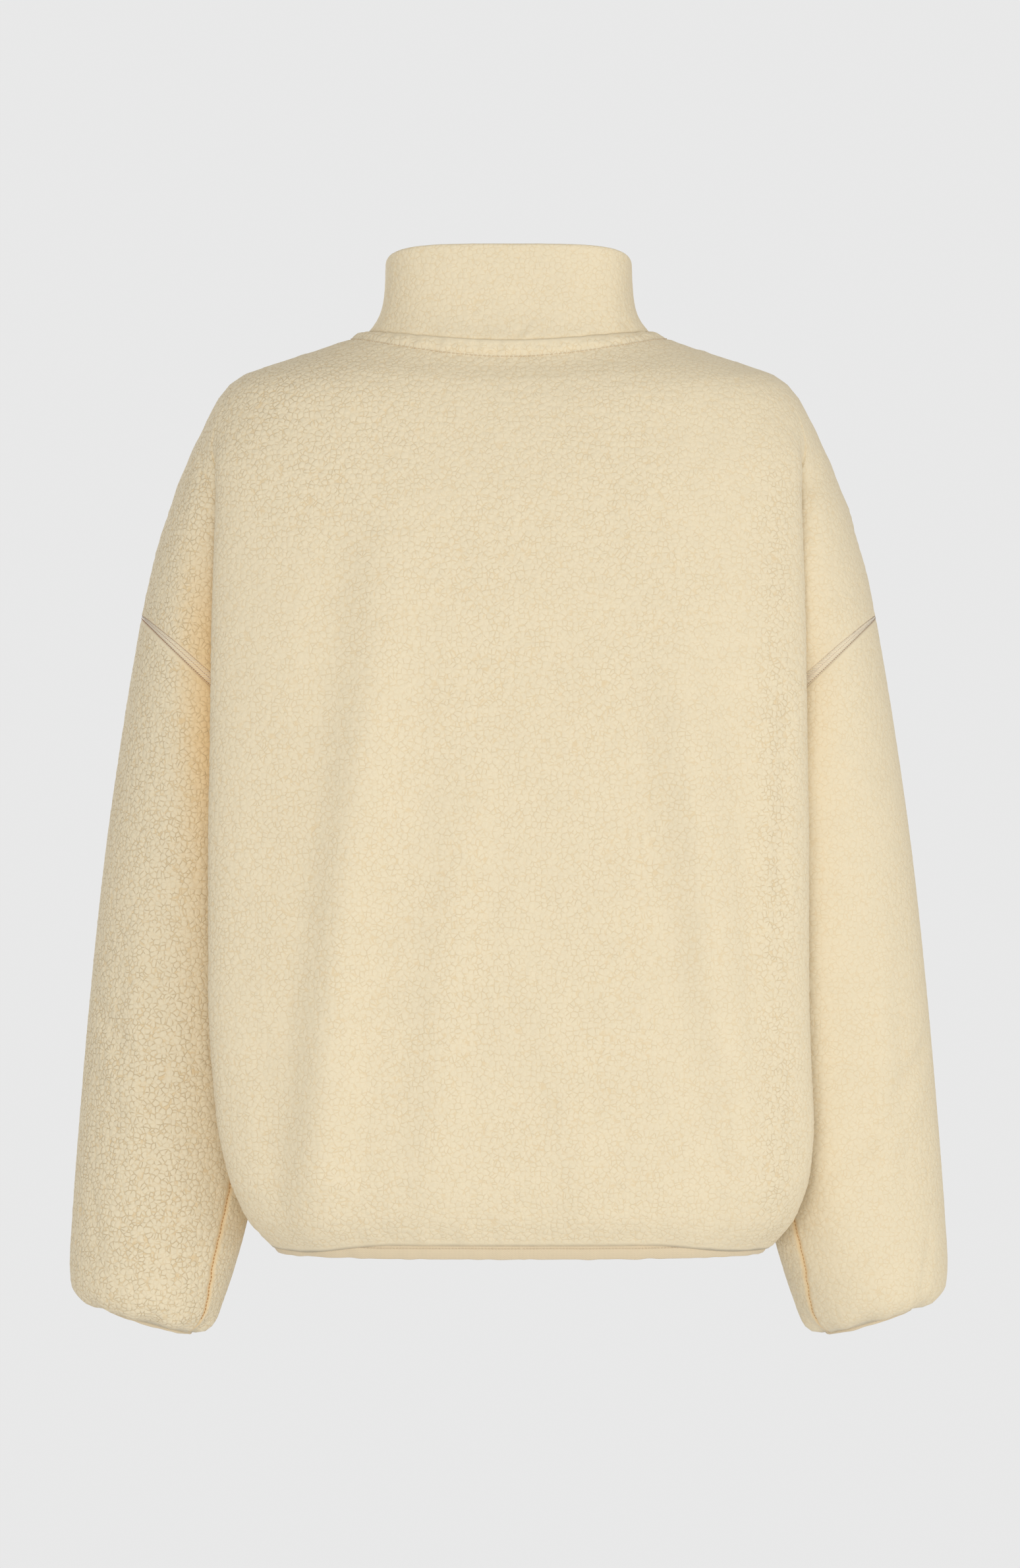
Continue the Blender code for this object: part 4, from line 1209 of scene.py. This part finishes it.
# Pitch, length and radius of the other stitches
NECK_STITCH, HEM_STITCH, SLEEVE_STITCH = (3.0, 2.4, 0.3), (2.2, 1.8, 0.28), (2.6, 2.0, 0.3)
HEM_STITCH_ROW = 3


def looper(hand):
    """Places and normals of the pale thread that crosses between the outer rows, once for each stitch."""
    low, high = [np.hstack(walk(armhole_line(hand, distance), COVER_PITCH)) for distance in LOOPER_REACH]
    count = min(len(low), len(high))
    line = np.empty((2 * count, 6))
    line[0::2] = low[:count][:, [0, 1, 2, 6, 7, 8]]
    line[1::2] = np.hstack([high[:count, :3] + high[:count, 3:6] * COVER_PITCH * 0.45, high[:count, 6:]])
    middle = (line[1:] + line[:-1]) / 2.0
    middle[:, :3] += middle[:, 3:] * 0.12
    full = np.empty((4 * count - 1, 6))
    full[0::2], full[1::2] = line, middle
    full[:, :3] += full[:, 3:] * 0.02
    return full


def hem_line(row):
    rows, normals, outer = hem_form
    line = np.hstack([outer.reshape(rows.shape)[row], normals.reshape(rows.shape)[row]])
    return np.vstack([line, line[:1]])


def sleeve_seam_line(form):
    ids, normals, outer = form
    shares = np.linspace(0.0, 1.0, SLEEVE_ROWS + 1)
    line = []
    for row in range(4, SLEEVE_ROWS - 2):
        column = seam_under_arm(shares[row]) * RING_POINTS
        low = int(column)
        numbers = ids[row, low:low + 2]
        first, second = np.hstack([outer[numbers], normals[numbers]])
        line.append(between(first, second, column - low))
    return np.array(line)


SIDES = {"left": (1.0, sleeve_left_form), "right": (-1.0, sleeve_right_form)}
rows_of = {}
for side_name, (hand, _) in SIDES.items():
    tight = DRAWN_TIGHT[hand]
    lines = [stitches(armhole_line(hand, distance), COVER_PITCH, COVER_LENGTH, radius * tight)
             for distance, radius in COVER_ROWS]
    rows_of[side_name + "_armhole_bold_row"] = lines[:1]
    rows_of[side_name + "_armhole_fine_rows"] = lines[1:]
    rows_of[side_name + "_armhole_looper"] = [thread(looper(hand), LOOPER_RADIUS)]
rows_of["neck_topstitch"] = [stitches(neck_line(NECK_RIDGE["width"] + BESIDE_RIDGE), *NECK_STITCH)]
rows_of["hem_topstitch"] = [stitches(hem_line(HEM_STITCH_ROW), *HEM_STITCH)]
pitch, length, radius = SLEEVE_STITCH
for side_name, (hand, form) in SIDES.items():
    seam_row = stitches(sleeve_seam_line(form), pitch, length, radius * DRAWN_TIGHT[hand], 0.05)
    rows_of[side_name + "_sleeve_seam_thread"] = [seam_row]
threads = {name: sew(name, rows) for name, rows in rows_of.items()}

# %% [markdown]
# ## Finish of the fleece
# Sherpa is matt and soft. The pebbles are pale, and the thin cracks between them are painted warm and a
# little dark, as painted shade and warm light scattered in the fibre. The group below makes that from the
# same pattern that raised the mesh. Where the pile's strength is low the painted cracks are faint, and
# where it is high the colour follows it fully, though the bumps stop growing at MOST_CURLED. The stronger
# cracks on the left are painted shade as well. Cloth deep in the crease is painted warmer and darker as
# painted crease shade, and a slow noise makes the pile slightly uneven. The inside of the cloth is a plain
# knit.

# %% Node groups
COLOUR, FLOAT, VECTOR = "NodeSocketColor", "NodeSocketFloat", "NodeSocketVector"


def map_range(tree, value, source, target=(0.0, 1.0)):
    inputs = {"Value": value, "From Min": source[0], "From Max": source[1],
              "To Min": target[0], "To Max": target[1]}
    return add_node(tree, "ShaderNodeMapRange", inputs, interpolation_type="SMOOTHSTEP").outputs["Result"]


def mix_colour(tree, share, first, second, blend="MIX"):
    inputs = {0: share, 6: first, 7: second}
    return add_node(tree, "ShaderNodeMix", inputs, data_type="RGBA", blend_type=blend).outputs[2]


def shaded(tree, colour, value):
    """A colour multiplied by a grey."""
    grey = add_node(tree, "ShaderNodeCombineColor", {channel: value for channel in range(3)})
    return mix_colour(tree, 1.0, colour, grey.outputs[0], "MULTIPLY")


def give(tree, result, **values):
    for title, value in values.items():
        tree.links.new(value, result[title])
    return tree


def sherpa_group():
    tree, given, result = node_group(
        "sherpa pile", "ShaderNodeTree",
        {"Place": VECTOR, "Pile": FLOAT, "Shelter": FLOAT, "Pebble": COLOUR, "Sheltered": COLOUR,
         "Crack": COLOUR, "Crack strength": FLOAT},
        {"Color": COLOUR, "Height": FLOAT, "Roughness": FLOAT})
    place = given["Place"]
    dome, crack = pile_pattern(tree, place)
    patches = map_range(tree, noise_node(tree, place, 15.0), (0.32, 0.66), (0.84, 1.0))
    gap = map_range(tree, crack, (0.0, 0.13), (1.0, 0.0))
    broken = map_range(tree, noise_node(tree, place, 260.0, 1.0), (0.34, 0.6), (0.25, 1.0))
    depth = math_node(tree, "MULTIPLY", gap, math_node(tree, "MULTIPLY", patches, broken))
    depth = math_node(tree, "MULTIPLY", depth, given["Pile"])
    # Deep in the crease the cracks are painted darker still: painted crease shade
    strength = math_node(tree, "MULTIPLY_ADD", given["Shelter"], 0.35, given["Crack strength"])

    curl = noise_node(tree, place, 900.0, 3.0)
    tone = map_range(tree, noise_node(tree, place, 60.0, 3.0), (0.3, 0.7), (0.98, 1.0))
    fine = map_range(tree, curl, (0.25, 0.75), (0.97, 1.0))
    # Deep in the crease the pebbles take a warmer, darker colour: painted crease shade
    pebble = mix_colour(tree, given["Shelter"], given["Pebble"], given["Sheltered"])
    base = shaded(tree, pebble, math_node(tree, "MULTIPLY", tone, fine))
    # The cracks are painted the crack colour: painted shade and warm scattered light
    colour = mix_colour(tree, math_node(tree, "MULTIPLY", depth, strength), base, given["Crack"])

    round_height = math_node(tree, "MULTIPLY", math_node(tree, "SUBTRACT", 1.0, dome), patches)
    height = math_node(tree, "MULTIPLY_ADD", curl, 0.16, round_height)
    height = math_node(tree, "SUBTRACT", height, math_node(tree, "MULTIPLY", depth, 0.35))
    stands = math_node(tree, "MINIMUM", given["Pile"], MOST_CURLED)
    return give(tree, result, Color=colour, Height=math_node(tree, "MULTIPLY", height, stands),
                Roughness=map_range(tree, depth, (0.0, 1.0), (0.86, 0.97)))


def knit_group():
    """A smooth fine-gauge knit: small V stitches in columns, faint enough to feel only close up."""
    tree, given, result = node_group("fine knit", "ShaderNodeTree",
                                     {"Place": VECTOR, "Yarn": COLOUR, "Gauge": FLOAT},
                                     {"Color": COLOUR, "Height": FLOAT})
    split = add_node(tree, "ShaderNodeSeparateXYZ", {0: given["Place"]}).outputs
    across, up = [math_node(tree, "MULTIPLY", split[axis], given["Gauge"]) for axis in (0, 2)]
    column = math_node(tree, "PINGPONG", across, 1.0)
    slant = math_node(tree, "MULTIPLY", column, 3.1)
    rows = math_node(tree, "SINE", math_node(tree, "MULTIPLY_ADD", up, 4.2, slant))
    ribs = math_node(tree, "SINE", math_node(tree, "MULTIPLY", column, 3.1416))
    height = math_node(tree, "MULTIPLY_ADD", rows, 0.35, ribs)
    # The yarn is painted darker where the knit's relief is low: painted shade in its grooves
    shade = map_range(tree, height, (-0.3, 1.2), (0.9, 1.0))
    return give(tree, result, Height=height, Color=shaded(tree, given["Yarn"], shade))


def thread_group():
    """Two plies twisted round each other: a slanting light and shade along the thread."""
    tree, given, result = node_group("twisted thread", "ShaderNodeTree", {"Ply": FLOAT, "Dye": COLOUR},
                                     {"Color": COLOUR, "Height": FLOAT})
    twist = math_node(tree, "SINE", math_node(tree, "MULTIPLY", given["Ply"], 6.2832))
    shade = map_range(tree, twist, (-1.0, 1.0), (0.82, 1.0))
    return give(tree, result, Height=twist, Color=shaded(tree, given["Dye"], shade))


SHERPA = sherpa_group()
KNIT = knit_group()
TWIST = thread_group()
print("node groups:", SHERPA.name, "-", KNIT.name, "-", TWIST.name)

# %% Materials
PEBBLE = (0.85, 0.735, 0.52, 1.0)
# Colour painted into the cracks between pebbles: painted shade and warm light scattered in the fibre
CRACK_SHADE = (0.735, 0.53, 0.27, 1.0)
# Colour of the painted crease shade
CREASE_SHADE_COLOUR = (0.90, 0.60, 0.26, 1.0)
KNIT_BACK = (0.80, 0.71, 0.53, 1.0)
BINDING = (0.76, 0.63, 0.43, 1.0)
SHEEN_TINT = (1.0, 0.94, 0.82, 1.0)
DYES = {
    "bold_row": ("bold_thread", (0.52, 0.26, 0.15, 1.0)),
    "fine_rows": ("fine_thread", (0.68, 0.46, 0.31, 1.0)),
    "looper": ("looper_thread", (0.98, 0.87, 0.70, 1.0)),
    "seam_thread": ("seam_thread", (0.62, 0.33, 0.12, 1.0)),
    "topstitch": ("pale_thread", (0.82, 0.66, 0.45, 1.0)),
}


def new_material(name):
    finish = bpy.data.materials.new(name)
    finish.use_nodes = True
    return finish, finish.node_tree


def set_shader(tree, **values):
    """Feeds the surface shader's inputs, each named with _ for a space."""
    for title, value in values.items():
        feed(tree, tree.nodes["Principled BSDF"].inputs[title.replace("_", " ")], value)


def place_group(tree, group, **values):
    inputs = {title.replace("_", " "): value for title, value in values.items()}
    return add_node(tree, "ShaderNodeGroup", inputs, node_tree=group).outputs


def attribute(tree, title, output="Fac"):
    return add_node(tree, "ShaderNodeAttribute", {}, attribute_name=title).outputs[output]


def bump(tree, height, distance, strength=1.0):
    inputs = {"Distance": distance, "Strength": strength, "Height": height}
    return add_node(tree, "ShaderNodeBump", inputs).outputs["Normal"]


def fleece_material(name):
    finish, tree = new_material(name)
    rest, outside = attribute(tree, "rest", "Vector"), attribute(tree, "outside")
    pile = place_group(tree, SHERPA, Place=rest, Pile=attribute(tree, "seam"), Pebble=PEBBLE, Crack=CRACK_SHADE,
                       Shelter=attribute(tree, "crease_shade"), Sheltered=CREASE_SHADE_COLOUR, Crack_strength=0.52)
    knit = place_group(tree, KNIT, Place=rest, Yarn=KNIT_BACK, Gauge=900.0)
    knit_height = math_node(tree, "MULTIPLY", knit["Height"], 0.1)
    height = add_node(tree, "ShaderNodeMix", {0: outside, 2: knit_height, 3: pile["Height"]}).outputs[0]
    set_shader(tree, Base_Color=mix_colour(tree, outside, knit["Color"], pile["Color"]),
               Roughness=pile["Roughness"], Normal=bump(tree, height, 0.0006), Specular_IOR_Level=0.25,
               Sheen_Weight=0.18, Sheen_Roughness=0.45, Sheen_Tint=SHEEN_TINT)
    return finish


def binding_material(name):
    finish, tree = new_material(name)
    knit = place_group(tree, KNIT, Place=attribute(tree, "rest", "Vector"), Yarn=BINDING, Gauge=1100.0)
    set_shader(tree, Base_Color=knit["Color"], Normal=bump(tree, knit["Height"], 0.00012, 0.6),
               Roughness=0.72, Specular_IOR_Level=0.3, Sheen_Weight=0.15)
    return finish


def thread_material(name, dye):
    finish, tree = new_material(name)
    twist = place_group(tree, TWIST, Ply=attribute(tree, "ply"), Dye=dye)
    set_shader(tree, Base_Color=twist["Color"], Normal=bump(tree, twist["Height"], 0.0001, 0.5),
               Roughness=0.55, Specular_IOR_Level=0.35, Sheen_Weight=0.1)
    return finish


FLEECE_FINISH = fleece_material("sherpa_fleece")
BINDING_FINISH = binding_material("smooth_binding")
THREAD_FINISHES = {row: thread_material(*dye) for row, dye in DYES.items()}
print("materials:", [finish.name for finish in (FLEECE_FINISH, BINDING_FINISH, *THREAD_FINISHES.values())])

# %% [markdown]
# ## Fitting the pieces to the frame
# Each piece of cloth rides on the one body, replaces its solid and takes its finish. Each row of stitching
# rides on the same body and takes the finish of its thread.

# %% Ride and replace
# Piece, node, slot, flat size, area, how the names of the rows sewn on it begin, and finish
SHEETS = [
    (back, "back", "fleece", (0.75, 0.64), 0.406, "neck_topstitch", FLEECE_FINISH),
    (front, "front", "fleece", (0.745, 0.62), 0.397, "", FLEECE_FINISH),
    (sleeve_left, "sleeve_left", "fleece", (0.416, 0.485), 0.166, "left_", FLEECE_FINISH),
    (sleeve_right, "sleeve_right", "fleece", (0.416, 0.485), 0.166, "right_", FLEECE_FINISH),
    (collar_piece, "collar", "fleece", (0.578, 0.065), 0.034, "", FLEECE_FINISH),
    (hem_binding, "hem_binding", "binding", (0.97, 0.0125), 0.012, "hem_topstitch", BINDING_FINISH),
    (cuff_binding_left, "cuff_binding_left", "binding", (0.19, 0.0105), 0.0019, "", BINDING_FINISH),
    (cuff_binding_right, "cuff_binding_right", "binding", (0.19, 0.0105), 0.0019, "", BINDING_FINISH),
]
for name, piece in threads.items():
    kind = next(kind for kind in THREAD_FINISHES if name.endswith(kind))
    piece.data.materials.append(THREAD_FINISHES[kind])
    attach(piece, "root")
for piece, node, slot, flat, area, sewn, finish in SHEETS:
    piece.data.materials.append(finish)
    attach(piece, "root")
    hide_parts(node)
print(len(SHEETS), "sheets")

# %% [markdown]
# ## Studio
# A pale round floor lies well below the garment, which floats as if worn. The camera faces its back. A
# large soft light stands just behind the camera, two smaller ones on the right sleeve's side shape the
# folds, and one on the far side lights the front. All are at about the garment's own height. The room
# itself is an even pale grey to the camera, and gives a weaker light than it shows, as a studio's dark
# ceiling would.

# %% Floor, lights and camera
FLOOR_Z = -1.25
LIGHTS_AIM = (0.0, 0.0, -0.3)
WHITE = (1.0, 1.0, 1.0)
# Name, place in metres, size, power in watts and colour
LIGHTS = [
    ("front", (0.3, 4.35, -0.45), 2.4, 65.5, WHITE),
    ("key", (-3.2, 2.8, -0.4), 1.4, 9.0, WHITE),
    ("side", (-3.8, 1.2, -0.4), 1.2, 17.0, (1.0, 0.985, 0.94)),
    ("behind", (1.4, -4.0, 0.2), 2.0, 42.0, WHITE),
]
ROOM_SHOWN, ROOM_GIVEN_OFF = 0.811, 0.575
CAMERA_DISTANCE = 4.0
FRAME_HEIGHT = 1.071


def pale_floor():
    bpy.ops.object.select_all(action="DESELECT")
    bpy.ops.mesh.primitive_circle_add(vertices=128, radius=2.9, fill_type="NGON", location=(0.0, 0.0, FLOOR_Z))
    floor = bpy.context.active_object
    floor.name = "floor"
    bpy.ops.object.mode_set(mode="EDIT")
    bpy.ops.mesh.select_all(action="SELECT")
    bpy.ops.mesh.inset(thickness=0.3, depth=0.0)
    bpy.ops.object.mode_set(mode="OBJECT")
    bpy.ops.object.transform_apply(location=True, rotation=True, scale=True)
    finish, tree = new_material("pale_paper")
    grain = noise_node(tree, tree.nodes.new("ShaderNodeTexCoord").outputs["Object"], 3.0)
    shade = map_range(tree, grain, (0.3, 0.7), (0.90, 0.92))
    set_shader(tree, Base_Color=shaded(tree, (*WHITE, 1.0), shade), Roughness=0.9, Specular_IOR_Level=0.1)
    floor.data.materials.append(finish)


def area_light(name, place, size, power, colour):
    lamp = bpy.data.lights.new(name, "AREA")
    lamp.shape = "DISK"
    lamp.size, lamp.energy, lamp.color = size, power, colour
    obj = bpy.data.objects.new(name, lamp)
    bpy.context.scene.collection.objects.link(obj)
    obj.location = place
    obj.rotation_euler = (Vector(LIGHTS_AIM) - Vector(place)).to_track_quat("-Z", "Y").to_euler()


def room(shown, given_off):
    """An even pale room: one grey for the camera, and a weaker one for the light it gives."""
    world = bpy.data.worlds.new("studio")
    bpy.context.scene.world = world
    world.use_nodes = True
    tree = world.node_tree
    background = tree.nodes["Background"]
    to_camera = tree.nodes.new("ShaderNodeLightPath").outputs["Is Camera Ray"]
    strength = math_node(tree, "MULTIPLY_ADD", to_camera, shown - given_off, given_off)
    feed(tree, background.inputs["Color"], (*WHITE, 1.0))
    feed(tree, background.inputs["Strength"], strength)


pale_floor()
for light in LIGHTS:
    area_light(*light)
room(ROOM_SHOWN, ROOM_GIVEN_OFF)
bpy.context.scene.view_settings.view_transform = "Standard"

camera_data = bpy.data.cameras.new("camera")
camera = bpy.data.objects.new("camera", camera_data)
bpy.context.scene.collection.objects.link(camera)
camera.location = (-0.0009, CAMERA_DISTANCE, -0.3083)
camera.rotation_euler = (np.pi / 2.0, 0.0, np.pi)
camera_data.sensor_fit = "VERTICAL"
camera_data.angle = 2.0 * np.arctan(FRAME_HEIGHT / 2.0 / CAMERA_DISTANCE)
camera_data.clip_end = 100.0
bpy.context.scene.camera = camera
print("camera sees", FRAME_HEIGHT, "m from top to bottom at the garment's middle")
